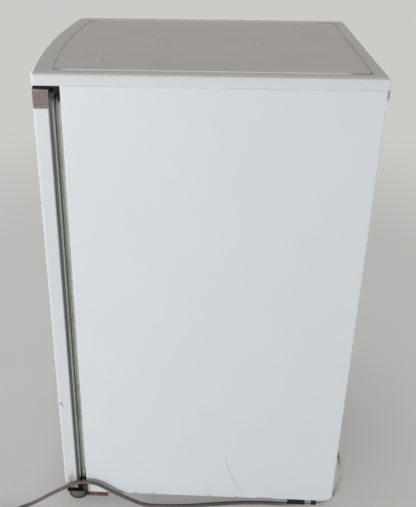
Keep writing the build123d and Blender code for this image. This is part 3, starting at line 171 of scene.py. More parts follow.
class Finish:
    """A procedural material, built up on one Principled shader from short calls.

    Its color, roughness and normal are plain values until a call lays something over them.
    """

    def __init__(self, name, rgb, roughness, shine=0.5, **sockets):
        self.material = bpy.data.materials.new(name)
        self.material.use_nodes = True
        self.tree = self.material.node_tree
        self.shader = self.tree.nodes["Principled BSDF"]
        self.place = self.add("TexCoord").outputs["Object"]
        split = self.add("SeparateXYZ")
        self.feed(split.inputs[0], self.place)
        self.axis = split.outputs
        self.color = linear(rgb)
        self.roughness = roughness
        self.normal = None
        self.feed_named(self.shader, Specular_IOR_Level=shine, **sockets)

    def add(self, kind, **settings):
        node = self.tree.nodes.new("ShaderNode" + kind)
        for key, value in settings.items():
            setattr(node, key, value)
        return node

    def feed(self, socket, value):
        """Links an output to a socket, or sets the socket's own value."""
        if isinstance(value, bpy.types.NodeSocket):
            self.tree.links.new(value, socket)
        else:
            socket.default_value = value

    def feed_all(self, node, values):
        """Feeds the node's sockets in their order."""
        for socket, value in zip(node.inputs, values):
            self.feed(socket, value)
        return node.outputs[0]

    def feed_named(self, node, **values):
        """Feeds the named sockets, a _ for each space, but not with None."""
        for name, value in values.items():
            if value is not None:
                self.feed(node.inputs[name.replace("_", " ")], value)

    def math(self, operation, a, b=0.0):
        return self.feed_all(self.add("Math", operation=operation), (a, b))

    def vector(self, operation, a, b=(0, 0, 0)):
        node = self.add("VectorMath", operation=operation)
        result = self.feed_all(node, (a, b))
        return node.outputs["Value"] if operation in ("DOT_PRODUCT", "DISTANCE") else result

    def ramp(self, value, start, end, low=0.0, high=1.0, form="SMOOTHSTEP"):
        """Maps start..end of a value to low..high, and holds it outside."""
        node = self.add("MapRange", clamp=True, interpolation_type=form)
        return self.feed_all(node, (value, start, end, low, high))

    def texture(self, kind, output, stretch, **numbers):
        node = self.add(kind)
        place = self.place
        if stretch != (1, 1, 1):
            mapping = self.add("Mapping")
            self.feed_named(mapping, Vector=place, Scale=stretch)
            place = mapping.outputs[0]
        self.feed_named(node, Vector=place, **numbers)
        return node.outputs[output]

    def noise(self, scale, detail=3.0, roughness=0.55, stretch=(1, 1, 1), distortion=0.0):
        settings = {"Scale": scale, "Detail": detail, "Roughness": roughness, "Distortion": distortion}
        return self.texture("TexNoise", "Fac", stretch, **settings)

    def cells(self, scale, stretch=(1, 1, 1)):
        return self.texture("TexVoronoi", "Distance", stretch, Scale=scale)

    def mix(self, kind, factor, a, b, **settings):
        node = self.add("Mix", data_type=kind, **settings)
        self.feed_named(node, Factor=factor, A=a, B=b)
        return node.outputs["Result"]

    # Masks: each is 1 where something is, and 0 elsewhere.
    def combined(self, operation, masks):
        result, *others = masks
        for mask in others:
            result = self.math(operation, result, mask)
        return result

    def both(self, *masks):
        return self.combined("MULTIPLY", masks)

    def either(self, *masks):
        return self.combined("MAXIMUM", masks)

    def patches(self, scale, detail, start, end, *noise_rest):
        """Ragged patches, where the noise rises from start to end."""
        return self.ramp(self.noise(scale, detail, *noise_rest), start, end)

    def near(self, axis, centre, reach, soft):
        """1 within reach of a plane across the axis, fading out over soft."""
        away = self.math("ABSOLUTE", self.math("SUBTRACT", self.axis[axis], centre))
        return self.ramp(away, reach, reach + soft, 1.0, 0.0)

    def past(self, axis, start, end):
        """0 at start rising to 1 at end along an axis."""
        return self.ramp(self.axis[axis], start, end)

    def outside(self, axis, start, end):
        """0 up to start and 1 from end, on both sides of the middle."""
        return self.ramp(self.math("ABSOLUTE", self.axis[axis]), start, end)

    def stroke(self, start, end, width):
        """1 along the line between two points, 0 a width away."""
        start, end = Vector(start), Vector(end)
        length = (end - start).length
        ahead = (end - start) / length
        along = self.vector("DOT_PRODUCT", self.vector("SUBTRACT", self.place, start), ahead)
        along = self.ramp(along, 0.0, length, 0.0, length, "LINEAR")
        spine = self.add("VectorMath", operation="SCALE")
        self.feed_named(spine, Vector=ahead, Scale=along)
        foot = self.vector("ADD", spine.outputs[0], start)
        return self.ramp(self.vector("DISTANCE", self.place, foot), width * 0.4, width, 1.0, 0.0)

    def spot(self, centre, radius):
        """A round patch with a ragged edge."""
        away = self.vector("DISTANCE", self.place, centre)
        ragged = self.math("SUBTRACT", self.noise(0.9 / radius), 0.5)
        away = self.math("ADD", away, self.math("MULTIPLY", ragged, radius * 1.4))
        return self.ramp(away, radius * 0.6, radius, 1.0, 0.0)

    def strokes(self, *lines):
        return self.either(*(self.stroke(*line) for line in lines))

    def spots(self, *places):
        return self.either(*(self.spot(*place) for place in places))

    # Layers: each lays something over what is there.
    def tint(self, mask, rgb, strength=1.0):
        """Another colour, by a mask."""
        if strength != 1.0:
            mask = self.math("MULTIPLY", mask, strength)
        self.color = self.mix("RGBA", mask, self.color, linear(rgb))

    def mottle(self, scale, amount, stretch=(1, 1, 1)):
        """Slow light and dark drift in the colour."""
        drift = self.ramp(self.noise(scale, 3.0, 0.55, stretch), 0.3, 0.7, 1.0 - amount, 1.0 + amount)
        grey = self.feed_all(self.add("CombineColor"), (drift, drift, drift))
        self.color = self.mix("RGBA", 1.0, self.color, grey, blend_type="MULTIPLY")

    def speckle(self, scale, amount, rgb, strength=0.6):
        """Fine dots of another colour. Amount is from 0, none, to 1, many."""
        dots = self.ramp(self.cells(scale), 0.08 + 0.12 * amount, 0.14 + 0.16 * amount, 1.0, 0.0)
        patch = self.patches(scale / 9, 2.0, 0.62 - 0.25 * amount, 0.72 - 0.2 * amount)
        self.tint(self.both(dots, patch), rgb, strength)

    def rough(self, mask, value):
        """Another roughness, by a mask."""
        self.roughness = self.mix("FLOAT", mask, self.roughness, value)

    def bump(self, height, distance, strength):
        node = self.add("Bump")
        self.feed_named(node, Strength=strength, Distance=distance, Height=height, Normal=self.normal)
        self.normal = node.outputs[0]

    def grain(self, scale, detail=3, distance=0.00006, strength=0.4, roughness=0.6):
        """A bump of even noise."""
        self.bump(self.noise(scale, detail, roughness), distance, strength)

    def done(self):
        looks = {"Base_Color": self.color, "Roughness": self.roughness, "Normal": self.normal}
        self.feed_named(self.shader, **looks)
        return self.material


# The side sheets' white and the rim's side white carry a bluish cast, and the rim's white a warm one: painted
# light, for the colour of the light that falls on the sides and on the top.
SIDE_WHITE = (208, 213, 219)
DOOR_WHITE = (202, 206, 210)
LINER_WHITE = (232, 234, 232)
RIM_WHITE = (210, 207, 200)
RIM_SIDE_PAINTED_LIGHT = (204, 208, 212)
PANEL_WHITE = (206, 202, 196)
CAP_GREY = (140, 130, 127)
WORN_BLACK = (40, 36, 34)
BOARD_TOP = 0.8496
RIB_PITCH = 0.0023
RIB_BASE = 0.7982


def side_paint():
    """Off-white enamel on the side sheets, with a few scratches and worn folds, and a painted highlight along
    the front fold.
    """
    f = Finish("side_enamel", SIDE_WHITE, 0.38, 0.35)
    f.mottle(1.7, 0.012, (1, 1, 0.6))
    f.mottle(9.0, 0.006)
    f.tint(f.both(f.past("Z", 0.05, 0.03), f.patches(22, 4, 0.45, 0.75)), (184, 178, 170), 0.35)
    f.rough(f.patches(5.5, 4, 0.58, 0.72, 0.6, (1, 1, 0.5), 0.6), 0.5)
    # Painted highlight: the rounded front fold is made paler, as if it caught the light.
    front_fold_highlight = f.both(f.past("Y", -0.2088, -0.2102), f.past("Z", 0.034, 0.046))
    f.tint(front_fold_highlight, (216, 217, 208), 0.8)
    bends = [(0.23, 0.056, 0.128), (0.23, 0.064, 0.098), (0.23, 0.079, 0.064), (0.23, 0.0975, 0.031)]
    hairline = f.strokes(*((start, end, 0.0006) for start, end in zip(bends, bends[1:])))
    hairline = f.both(hairline, f.patches(240, 2, 0.38, 0.5))
    f.tint(hairline, (112, 114, 118), 0.75)
    specks = f.spots(
        ((0.2302, 0.11, 0.1238), 0.0011), ((0.2302, -0.045, 0.065), 0.0009),
        ((-0.2302, 0.06, 0.52), 0.0012), ((-0.2302, -0.12, 0.21), 0.0014),
    )
    f.tint(specks, (120, 118, 116), 0.7)
    worn_fold = f.both(f.past("Y", 0.2622, 0.2645), f.patches(60, 4, 0.58, 0.66, 0.6, (1, 1, 0.3)))
    f.tint(worn_fold, (122, 96, 78), 0.55)
    chips = f.both(f.past("Z", 0.034, 0.0295), f.patches(75, 3, 0.52, 0.6))
    f.tint(chips, (116, 84, 62), 0.55)
    f.grain(520, 2, 0.00005, 0.25, 0.5)
    f.grain(38, 2, 0.0005, 0.1, 0.5)
    f.bump(hairline, -0.0001, 0.5)
    return f.done()


def door_paint():
    """The same enamel on the door, chipped along its edges and scuffed at its foot."""
    f = Finish("door_enamel", DOOR_WHITE, 0.34, 0.4)
    f.mottle(2.1, 0.012, (1, 1, 0.6))
    f.mottle(11.0, 0.007)
    low_side = f.both(f.past("Z", 0.092, 0.06), f.past("X", 0.215, 0.226))
    scuffs = f.both(f.patches(34, 5, 0.5, 0.62, 0.65, (1, 1, 0.35), 0.8), low_side)
    f.tint(scuffs, (138, 134, 132), 0.8)
    chips = f.spots(
        ((0.2302, -0.2515, 0.644), 0.0017), ((0.2302, -0.249, 0.245), 0.0026),
        ((0.2302, -0.2455, 0.24), 0.0018), ((0.2302, -0.2505, 0.42), 0.0009),
        ((-0.2302, -0.244, 0.376), 0.002), ((-0.229, -0.25, 0.682), 0.0015),
    )
    f.tint(chips, (64, 60, 58), 0.9)
    f.tint(f.both(f.past("Z", 0.062, 0.046), f.patches(60, 4, 0.52, 0.64)), (168, 158, 146), 0.55)
    hand_marks = f.both(f.past("Z", 0.62, 0.76), f.patches(9, 4, 0.5, 0.7, 0.6))
    f.rough(hand_marks, 0.5)
    # Painted shade: the door's rear lip, which faces the gap beside the cabinet, is darkened.
    f.tint(f.past("Y", -0.2312, -0.2298), (106, 111, 114), 0.85)
    f.grain(520, 2, 0.00005, 0.25, 0.5)
    f.grain(34, 2, 0.0005, 0.12, 0.5)
    f.bump(chips, -0.0002, 0.8)
    return f.done()


def worktop_plastic():
    """The worktop's moulded rim, warm on top as painted light, with painted shade and dirt in its groove and
    a painted highlight on its side strips.
    """
    f = Finish("worktop_rim_plastic", RIM_WHITE, 0.58, 0.3)
    f.mottle(3.0, 0.015)
    f.mottle(40.0, 0.008)
    f.speckle(700, 0.25, (168, 162, 150), 0.25)
    inside = f.both(f.near("X", 0, 0.2025, 0.001), f.near("Y", 0.004, 0.2475, 0.02))
    # Painted shade with some dirt: the groove's walls below the crown are darkened, unevenly.
    groove_shade_and_dirt = f.both(f.past("Z", 0.8478, 0.8448), inside, f.ramp(f.noise(30, 4), 0.2, 0.55, 0.45, 1.0))
    f.tint(groove_shade_and_dirt, (120, 114, 104), 0.75)
    # Painted highlight: the rim's strips along both sides are lighter, where their rounded edge would catch
    # the light.
    f.tint(f.outside("X", 0.204, 0.224), (228, 226, 221), 0.9)
    # Painted light: the rim's sides below its crown take the bluish side tone, and its top keeps the warm
    # one.
    f.tint(f.past("Z", 0.8478, 0.8452), RIM_SIDE_PAINTED_LIGHT)
    f.tint(f.both(f.past("Z", 0.8335, 0.832), f.patches(26, 3, 0.35, 0.6)), (150, 144, 134), 0.5)
    f.grain(1500, 2, 0.00004, 0.35)
    f.grain(70, 2, 0.0002, 0.12, 0.55)
    return f.done()


def worktop_board():
    """Matt laminate with fine scuffs where things were pushed about."""
    f = Finish("worktop_laminate", PANEL_WHITE, 0.52, 0.35)
    f.mottle(2.6, 0.02)
    f.mottle(17.0, 0.012)
    f.speckle(420, 0.5, (190, 186, 176), 0.4)
    marks = (
        ((0.143, -0.174), (0.097, -0.175), 0.0016), ((0.142, -0.168), (0.093, -0.169), 0.0019),
        ((0.097, -0.166), (0.071, -0.167), 0.0009), ((-0.05, 0.06), (0.022, 0.094), 0.0007),
        ((-0.12, -0.08), (-0.071, -0.101), 0.0007), ((0.06, 0.15), (0.081, 0.128), 0.0006),
    )
    scuffs = f.strokes(*(((*start, BOARD_TOP), (*end, BOARD_TOP), width) for start, end, width in marks))
    f.tint(f.both(scuffs, f.patches(130, 3, 0.42, 0.56)), (244, 244, 240), 0.95)
    # Painted shade: the board's side edges beside the groove are darkened.
    f.tint(f.outside("X", 0.1948, 0.1972), (160, 162, 152), 0.75)
    rings = f.patches(6.5, 5, 0.56, 0.7, 0.6, (1, 1, 1), 0.5)
    f.rough(rings, 0.64)
    f.tint(rings, (196, 194, 186), 0.25)
    f.grain(1300, 3, 0.00005)
    return f.done()


def bead_vinyl():
    """Pale bead in the worktop's groove, darker across its front and back."""
    f = Finish("bead_vinyl", (240, 240, 234), 0.4)
    f.mottle(14.0, 0.02)
    f.tint(f.outside("Y", 0.205, 0.222), (132, 132, 126), 0.85)
    f.grain(900)
    return f.done()


def cap_plastic():
    """Brown-grey moulding, with painted shade in its grooves, dusty and rubbed on its ribs."""
    f = Finish("door_cap_plastic", CAP_GREY, 0.55, 0.3)
    f.mottle(26.0, 0.05)
    wave = f.math("MULTIPLY", f.math("SUBTRACT", f.axis["Z"], RIB_BASE), 1 / RIB_PITCH)
    wave = f.math("ABSOLUTE", f.math("SUBTRACT", f.math("FRACT", wave), 0.5))
    # Painted shade: the hollows between the ribs are darkened.
    grooves = f.both(f.ramp(wave, 0.24, 0.06), f.past("Z", 0.797, 0.7982), f.past("Z", 0.8262, 0.8252))
    f.tint(grooves, (82, 72, 70), 0.75)
    f.speckle(620, 0.8, (188, 180, 176), 0.4)
    f.speckle(510, 0.45, (92, 82, 78), 0.45)
    f.tint(f.both(f.past("Z", 0.7992, 0.7974), f.past("Z", 0.79, 0.796)), (196, 188, 182), 0.6)
    f.tint(f.both(f.past("Z", 0.8235, 0.8262), f.patches(48, 4, 0.4, 0.62)), (186, 176, 170), 0.5)
    f.grain(900, 3, 0.00008)
    return f.done()


def moulded(name, rgb, roughness=0.5, grain=900, mottle=0.03, dust=None, shine=0.5):
    """Plain moulded plastic or rubber, with dust in patches if a colour is given for it."""
    f = Finish(name, rgb, roughness, shine)
    f.mottle(14.0, mottle)
    f.mottle(90.0, mottle * 0.5)
    if dust:
        f.tint(f.patches(30, 5, 0.46, 0.72, 0.62), dust, 0.45)
        f.speckle(380, 0.45, dust, 0.5)
    f.rough(f.patches(44, 4, 0.45, 0.7), min(1.0, roughness + 0.12))
    f.grain(grain)
    return f.done()


def black_steel():
    """Black enamel with a little wear."""
    f = Finish("black_enamel", (12, 13, 17), 0.7, 0.2)
    f.mottle(12.0, 0.06)
    worn = f.patches(52, 5, 0.62, 0.7, 0.65)
    f.tint(worn, WORN_BLACK, 0.6)
    f.tint(f.patches(24, 5, 0.5, 0.8, 0.6), WORN_BLACK, 0.3)
    f.rough(worn, 0.7)
    f.grain(300, 3, 0.0001, 0.3, 0.55)
    return f.done()


def rusty_steel():
    """Black bracket: rust has taken its outer edge and rail, and browned the rest."""
    f = Finish("rusted_bracket", (20, 17, 17), 0.75, 0.2)
    f.tint(f.patches(60, 5, 0.5, 0.7, 0.65), (46, 34, 28), 0.8)
    tab_top = f.both(f.past("Z", 0.04, 0.047), f.past("Y", -0.2235, -0.219))
    rail = f.both(f.past("Z", 0.03, 0.026), f.past("Y", -0.212, -0.205))
    outer = f.both(f.outside("X", 0.2236, 0.225), f.either(tab_top, rail))
    pale = f.patches(150, 4, 0.6, 0.72, 0.6)
    f.tint(f.both(outer, f.patches(60, 5, 0.3, 0.5, 0.65)), (98, 70, 56))
    f.tint(f.both(outer, f.patches(95, 5, 0.48, 0.64, 0.65, (1, 1, 1), 0.4)), (124, 86, 64), 0.75)
    f.tint(f.both(outer, pale), (168, 136, 112), 0.7)
    f.tint(f.both(outer, f.patches(45, 4, 0.6, 0.72)), (58, 46, 42), 0.85)
    f.rough(pale, 0.9)
    f.grain(260, 5, 0.0006, 0.6, 0.7)
    f.grain(1100, 3, 0.0002, 0.5)
    return f.done()


def seal_grey():
    """Grey-green magnetic seal, with painted shade in its front fold and a painted highlight on its magnet
    strip.
    """
    f = Finish("magnetic_seal", (122, 126, 121), 0.62, 0.3)
    f.mottle(14.0, 0.05)
    # Painted highlight: the magnet strip is made pale.
    f.tint(f.past("Y", -0.2216, -0.2208), (200, 205, 200), 0.9)
    # Painted shade: the seal's front edge, where it meets the door liner, is darkened.
    f.tint(f.past("Y", -0.2262, -0.2266), (60, 64, 62), 0.8)
    f.tint(f.patches(30, 5, 0.46, 0.72, 0.62), (108, 108, 100), 0.3)
    f.speckle(380, 0.4, (110, 110, 100), 0.4)
    f.rough(f.patches(44, 4, 0.45, 0.7), 0.75)
    f.grain(700)
    return f.done()


def door_liner_plastic():
    """White liner of the door, with painted shade along its edge beside the seal."""
    f = Finish("door_liner_styrene", LINER_WHITE, 0.32)
    f.mottle(14.0, 0.012)
    # Painted shade: the liner's edge, which faces the gap beside the seal, is darkened.
    f.tint(f.both(f.outside("X", 0.2215, 0.2228), f.past("Y", -0.2295, -0.2285)), (92, 97, 100), 0.92)
    f.tint(f.both(f.past("Z", 0.078, 0.055), f.patches(40, 4, 0.4, 0.65)), (190, 182, 166), 0.5)
    f.rough(f.patches(44, 4, 0.45, 0.7), 0.44)
    f.grain(500)
    return f.done()


def foot_plastic():
    """Green-grey feet, dusty on top, with painted shade where they meet the floor and along their front lower
    edge.
    """
    f = Finish("foot_moulding", (98, 100, 88), 0.6, 0.3)
    f.mottle(14.0, 0.06)
    f.tint(f.patches(30, 5, 0.46, 0.72, 0.62), (128, 126, 112), 0.45)
    f.speckle(380, 0.45, (160, 156, 140), 0.4)
    # Painted shade: the feet darken towards the floor.
    f.tint(f.past("Z", 0.0085, 0.0035), (40, 39, 33), 0.8)
    # Painted shade: the front of the feet is darkened low down.
    f.tint(f.both(f.past("Y", -0.24, -0.249), f.past("Z", 0.019, 0.016)), (36, 36, 32), 0.75)
    f.grain(900)
    return f.done()


def plated_steel(name, rgb, roughness, spangle=0.0, dull=(150, 142, 130)):
    """Zinc or bright steel with a dull bloom, and crystals on galvanised sheet."""
    f = Finish(name, rgb, roughness, Metallic=0.9)
    if spangle:
        f.tint(f.ramp(f.cells(60, (1, 1.3, 1)), 0.2, 0.75), (198, 202, 206), spangle)
    f.mottle(20.0, 0.06)
    bloom = f.patches(34, 5, 0.52, 0.74, 0.62)
    f.tint(bloom, dull, 0.5)
    f.rough(bloom, min(1.0, roughness + 0.3))
    f.grain(700, 3, 0.00005, 0.4, 0.55)
    return f.done()


def copper():
    """Drawn copper gone brown, with a few green patches."""
    f = Finish("copper_tube", (178, 106, 74), 0.34, Metallic=1.0)
    browned = f.patches(55, 4, 0.4, 0.68)
    f.tint(browned, (112, 70, 52), 0.8)
    f.tint(f.patches(90, 3, 0.66, 0.78), (104, 132, 112), 0.5)
    f.rough(browned, 0.6)
    f.grain(500, 2, 0.00006, 0.3, 0.55)
    return f.done()


def clear_plastic():
    """Clear styrene with a faint blue cast."""
    f = Finish("clear_styrene", (226, 238, 242), 0.1, IOR=1.49, Transmission_Weight=0.86)
    f.mottle(8.0, 0.02)
    f.rough(f.patches(28, 5, 0.5, 0.72, 0.65, (1, 1, 0.5)), 0.28)
    f.grain(160, 2, 0.00006, 0.15, 0.55)
    return f.done()


def shelf_glass():
    """Toughened glass, a little green and smeared."""
    f = Finish("toughened_glass", (214, 234, 226), 0.04, IOR=1.5, Transmission_Weight=0.95)
    f.rough(f.patches(11, 4, 0.52, 0.75, 0.6), 0.16)
    f.grain(60, 2, 0.00004, 0.08, 0.55)
    return f.done()


def bulb_glass():
    """Pearl glass of the lamp."""
    f = Finish("pearl_bulb", (246, 242, 230), 0.22, IOR=1.5, Transmission_Weight=0.35)
    f.mottle(70.0, 0.03)
    f.grain(260, 2, 0.00004, 0.2, 0.55)
    return f.done()


def foam():
    """Skin of the blown foam."""
    f = Finish("blown_foam", (216, 196, 132), 0.9)
    f.mottle(30.0, 0.08)
    f.speckle(300, 0.7, (150, 128, 76), 0.6)
    f.bump(f.cells(420), 0.0006, 0.6)
    return f.done()


def ice_box_metal():
    """Anodised aluminium plate with water marks."""
    f = Finish("evaporator_plate", (200, 205, 210), 0.42, Metallic=0.55)
    f.mottle(6.0, 0.05)
    marks = f.patches(16, 5, 0.52, 0.66, 0.6, (1, 1, 0.4))
    f.tint(marks, (226, 228, 228), 0.5)
    f.rough(marks, 0.6)
    f.grain(300, 3, 0.00015, 0.3, 0.55)
    return f.done()


def cord_jacket():
    """Grey-brown PVC, scuffed along its run and lighter towards its rear end."""
    f = Finish("lead_jacket", (88, 79, 77), 0.5, 0.35)
    f.mottle(11.0, 0.1)
    f.tint(f.past("Y", 0.15, 0.23), (176, 174, 166), 0.85)
    f.tint(f.patches(60, 4, 0.52, 0.72, 0.6), (118, 108, 102), 0.4)
    f.speckle(500, 0.5, (58, 52, 50), 0.5)
    f.grain(420, 3, 0.0001, 0.4, 0.55)
    return f.done()


def back_sheet():
    """Grey paint on the back sheet, with dusty drifts."""
    f = Finish("back_sheet_paint", (186, 188, 188), 0.5)
    f.mottle(3.0, 0.03)
    f.tint(f.patches(14, 5, 0.5, 0.72, 0.6, (1, 1, 0.4)), (164, 158, 148), 0.4)
    f.speckle(800, 0.3, (120, 112, 102), 0.3)
    f.grain(600, 2, 0.00005, 0.3, 0.55)
    f.grain(26, 2, 0.0006, 0.15, 0.55)
    return f.done()


OWN_FINISHES = (
    worktop_plastic, worktop_board, side_paint, door_paint, cap_plastic, back_sheet, foam, black_steel,
    rusty_steel, foot_plastic, seal_grey, clear_plastic, shelf_glass, ice_box_metal, bulb_glass, copper,
    cord_jacket,
)
# The record's slots: those with a function of the same name, and the plain metals and mouldings.
FINISHES = {function.__name__: function() for function in OWN_FINISHES}
FINISHES.update(
    galvanised=plated_steel("galvanised_sheet", (150, 154, 156), 0.42, spangle=0.35),
    screw_steel=plated_steel("zinc_screw", (176, 174, 166), 0.36),
    pin_steel=plated_steel("turned_pin", (168, 170, 172), 0.28),
    liner_white=moulded("liner_styrene", LINER_WHITE, 0.32, 500, 0.012),
    black_plastic=moulded("black_moulding", (17, 17, 18), 0.55, dust=(70, 66, 60), shine=0.3),
    roller_plastic=moulded("roller_moulding", (196, 190, 176), 0.5, dust=(140, 130, 116)),
    bush_plastic=moulded("bush_moulding", (226, 222, 210), 0.45),
    coated_wire=moulded("coated_wire", (236, 236, 232), 0.3, 400, 0.015),
    flap_plastic=moulded("flap_moulding", (206, 222, 230), 0.28, 500, 0.02),
    knob_plastic=moulded("knob_moulding", (222, 222, 216), 0.4, 700, 0.02),
    grommet_rubber=moulded("grommet_rubber", (36, 35, 35), 0.8, 500, 0.05, dust=(110, 104, 96)),
    plug_plastic=moulded("plug_moulding", (118, 104, 100), 0.5, 600, 0.05, dust=(160, 150, 142)),
)


# ---- modelling tools
def deselect_all():
    bpy.ops.object.select_all(action="DESELECT")


def pick_only(piece):
    """Deselects everything, then takes up one piece."""
    deselect_all()
    piece.select_set(True)
    bpy.context.view_layer.objects.active = piece


def select_whole():
    """Selects all of the piece that is being edited."""
    bpy.ops.mesh.select_all(action="SELECT")


def edit_all(piece):
    """Edit mode, with the whole piece selected."""
    pick_only(piece)
    bpy.ops.object.mode_set(mode="EDIT")
    select_whole()


def leave_edit():
    bpy.ops.object.mode_set(mode="OBJECT")


def extrude_up(height):
    bpy.ops.mesh.extrude_region_move(TRANSFORM_OT_translate={"value": (0, 0, height)})


def close_up():
    """Turns all faces outwards and leaves edit mode."""
    select_whole()
    bpy.ops.mesh.normals_make_consistent(inside=False)
    leave_edit()


def settle(name):
    """Names the piece just added, and puts its place and turn into its mesh."""
    piece = bpy.context.object
    piece.name = name
    pick_only(piece)
    bpy.ops.object.transform_apply(location=True, rotation=True, scale=True)
    return piece


def aim(place, axis):
    """Moves a piece that points along +Z to a place, pointing along axis."""
    turn = Vector((0, 0, 1)).rotation_difference(Vector(axis)).to_matrix().to_4x4()
    return Matrix.Translation(place) @ turn


def modified(piece, kind, **settings):
    """Applies one modifier."""
    pick_only(piece)
    modifier = piece.modifiers.new(kind.lower(), kind)
    for key, value in settings.items():
        setattr(modifier, key, value)
    bpy.ops.object.modifier_apply(modifier=modifier.name)
    return piece


def soften(piece, width, segments=2):
    """Rounds the piece's sharp edges."""
    return modified(piece, "BEVEL", width=width, segments=segments, angle_limit=radians(32))


def smooth(piece, angle=38):
    """Smooth shading with the wide faces kept flat."""
    pick_only(piece)
    bpy.ops.object.shade_smooth_by_angle(angle=radians(angle))
    return modified(piece, "WEIGHTED_NORMAL", weight=100, keep_sharp=True)


def finish(piece, slot, body="cabinet", edge=0.0, angle=38, material=None):
    """Softens and smooths a piece where asked, and gives it its slot's finish, or the material given, and its
    body.
    """
    if edge:
        soften(piece, edge)
    if angle:
        smooth(piece, angle)
    piece.data.materials.clear()
    piece.data.materials.append(material or FINISHES[slot])
    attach(piece, body)
    return piece


def stand_in(piece, node, **look):
    """Finishes a piece that is shown for a CAD node, on the node's own body and with its slot's finish, and
    hides the node.
    """
    finish(piece, SLOT_OF[node], BODY_OF[node], **look)
    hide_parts(node)
    return piece


def cast_of(node, name=None):
    """A copy of a CAD node's shape as a new piece, with its doubles merged and its flats whole."""
    piece = link_new(name or node + "_shell", NODES[node].data.copy())
    piece.data.materials.clear()
    edit_all(piece)
    bpy.ops.mesh.customdata_custom_splitnormals_clear()
    bpy.ops.mesh.remove_doubles(threshold=0.000002)
    bpy.ops.mesh.dissolve_limited(angle_limit=radians(0.4))
    leave_edit()
    return piece


def slab(name, low, high):
    """A block between two corners."""
    deselect_all()
    low, high = Vector(low), Vector(high)
    bpy.ops.mesh.primitive_cube_add(size=1, location=(low + high) / 2, scale=high - low)
    return settle(name)


def turned(name, base, axis, rings, sides=32):
    """A piece built up from a disc at base: each ring is a height along axis and a radius."""
    deselect_all()
    height, radius = rings[0]
    disc = {"vertices": sides, "radius": radius, "fill_type": "NGON"}
    bpy.ops.mesh.primitive_circle_add(location=(0, 0, height), **disc)
    piece = settle(name)
    edit_all(piece)
    for next_height, next_radius in rings[1:]:
        extrude_up(next_height - height)
        share = next_radius / radius
        bpy.ops.transform.resize(value=(share, share, 1), center_override=(0, 0, next_height))
        height, radius = next_height, next_radius
    close_up()
    piece.data.transform(aim(base, axis))
    return piece


def another(piece, name, turn):
    """A copy with its own mesh, moved by a matrix."""
    twin = link_new(name, piece.data.copy())
    twin.data.transform(turn)
    return twin


def as_one(name, pieces):
    """Joins pieces into the first."""
    deselect_all()
    for piece in pieces:
        piece.select_set(True)
    bpy.context.view_layer.objects.active = pieces[0]
    bpy.ops.object.join()
    pieces[0].name = name
    return pieces[0]


def slice_across(piece, planes):
    """Cuts new edge rings where each plane, a point and a normal, meets the piece."""
    edit_all(piece)
    for point, normal in planes:
        select_whole()
        bpy.ops.mesh.bisect(plane_co=point, plane_no=normal)
    leave_edit()


def flute(piece, along, lines, band, low, high, on_face, push):
    """Cuts a face at lines along an axis, and presses every second cut in between low and high."""
    units = Matrix.Identity(3)
    planes = [(units[along] * line, units[along]) for line in lines]
    planes += [(units[band] * end, units[band]) for end in (low, low + 0.001, high - 0.001, high)]
    slice_across(piece, planes)
    grooves = lines[1::2]
    for vertex in piece.data.vertices:
        place = vertex.co.copy()
        within = low + 0.0005 < place[band] < high - 0.0005
        if within and on_face(place) and any(abs(place[along] - groove) < 0.00001 for groove in grooves):
            vertex.co = place + Vector(push)


def tube(name, points, radius, sides=3, closed=False):
    """A round wire or pipe along a smooth line, made a mesh."""
    pick_only(smooth_line(name, points, radius, sides, closed))
    bpy.ops.object.convert(target="MESH")
    return bpy.context.object


def ring_plate(name, x_half, low, high, corner, width, y0, y1):
    """An upright ring with rounded corners, from y0 to y1."""
    deselect_all()
    bpy.ops.mesh.primitive_plane_add(size=1, location=(0, 0, 0))
    bpy.ops.transform.resize(value=(2 * x_half, high - low, 1))
    piece = settle(name)
    edit_all(piece)
    bpy.ops.mesh.bevel(offset=corner, segments=6, affect="VERTICES")
    select_whole()
    bpy.ops.mesh.inset(thickness=width)
    bpy.ops.mesh.delete(type="FACE")
    select_whole()
    extrude_up(y1 - y0)
    close_up()
    stand = Matrix.Translation((0, y1, (low + high) / 2)) @ Matrix.Rotation(radians(90), 4, "X")
    piece.data.transform(stand)
    return piece


def pan_screw(name, radius, height, shank, shank_radius):
    """A cross-head screw along +Z with its seat at the origin."""
    dome = [(-shank, shank_radius * 0.55), (-shank * 0.8, shank_radius), (0, shank_radius), (0, radius)]
    dome += [(height * 0.35, radius), (height * 0.72, radius * 0.86), (height, radius * 0.5)]
    screw = turned(name, (0, 0, 0), (0, 0, 1), dome, 24)
    arm = radius * 0.55
    blade = radius * 0.11
    for wide, deep in ((arm, blade), (blade, arm)):
        cutter = slab("blade", (-wide, -deep, height * 0.35), (wide, deep, height * 1.5))
        modified(screw, "BOOLEAN", operation="DIFFERENCE", object=cutter, solver="EXACT")
        bpy.data.objects.remove(cutter)
    return smooth(screw, 30)


# ---- cabinet, door and inside pieces
HALF = 0.23
FRONT_Y = -0.2535
BOW = 0.0155
BOW_RADIUS = (HALF**2 + BOW**2) / (2 * BOW)
BOW_CENTRE_Y = FRONT_Y - BOW + BOW_RADIUS
BACK_Y = 0.2645
PIN_X = 0.214
PIN_Y = -0.2415


def bow_line(x, inset=0.0):
    """Where the bowed front stands at x."""
    return BOW_CENTRE_Y - sqrt((BOW_RADIUS - inset) ** 2 - x * x)


# Every CAD node takes its slot's finish, and then some are cast again with softened edges.
for node, shape in NODES.items():
    for material_slot in shape.material_slots:
        material_slot.material = FINISHES[SLOT_OF[node]]

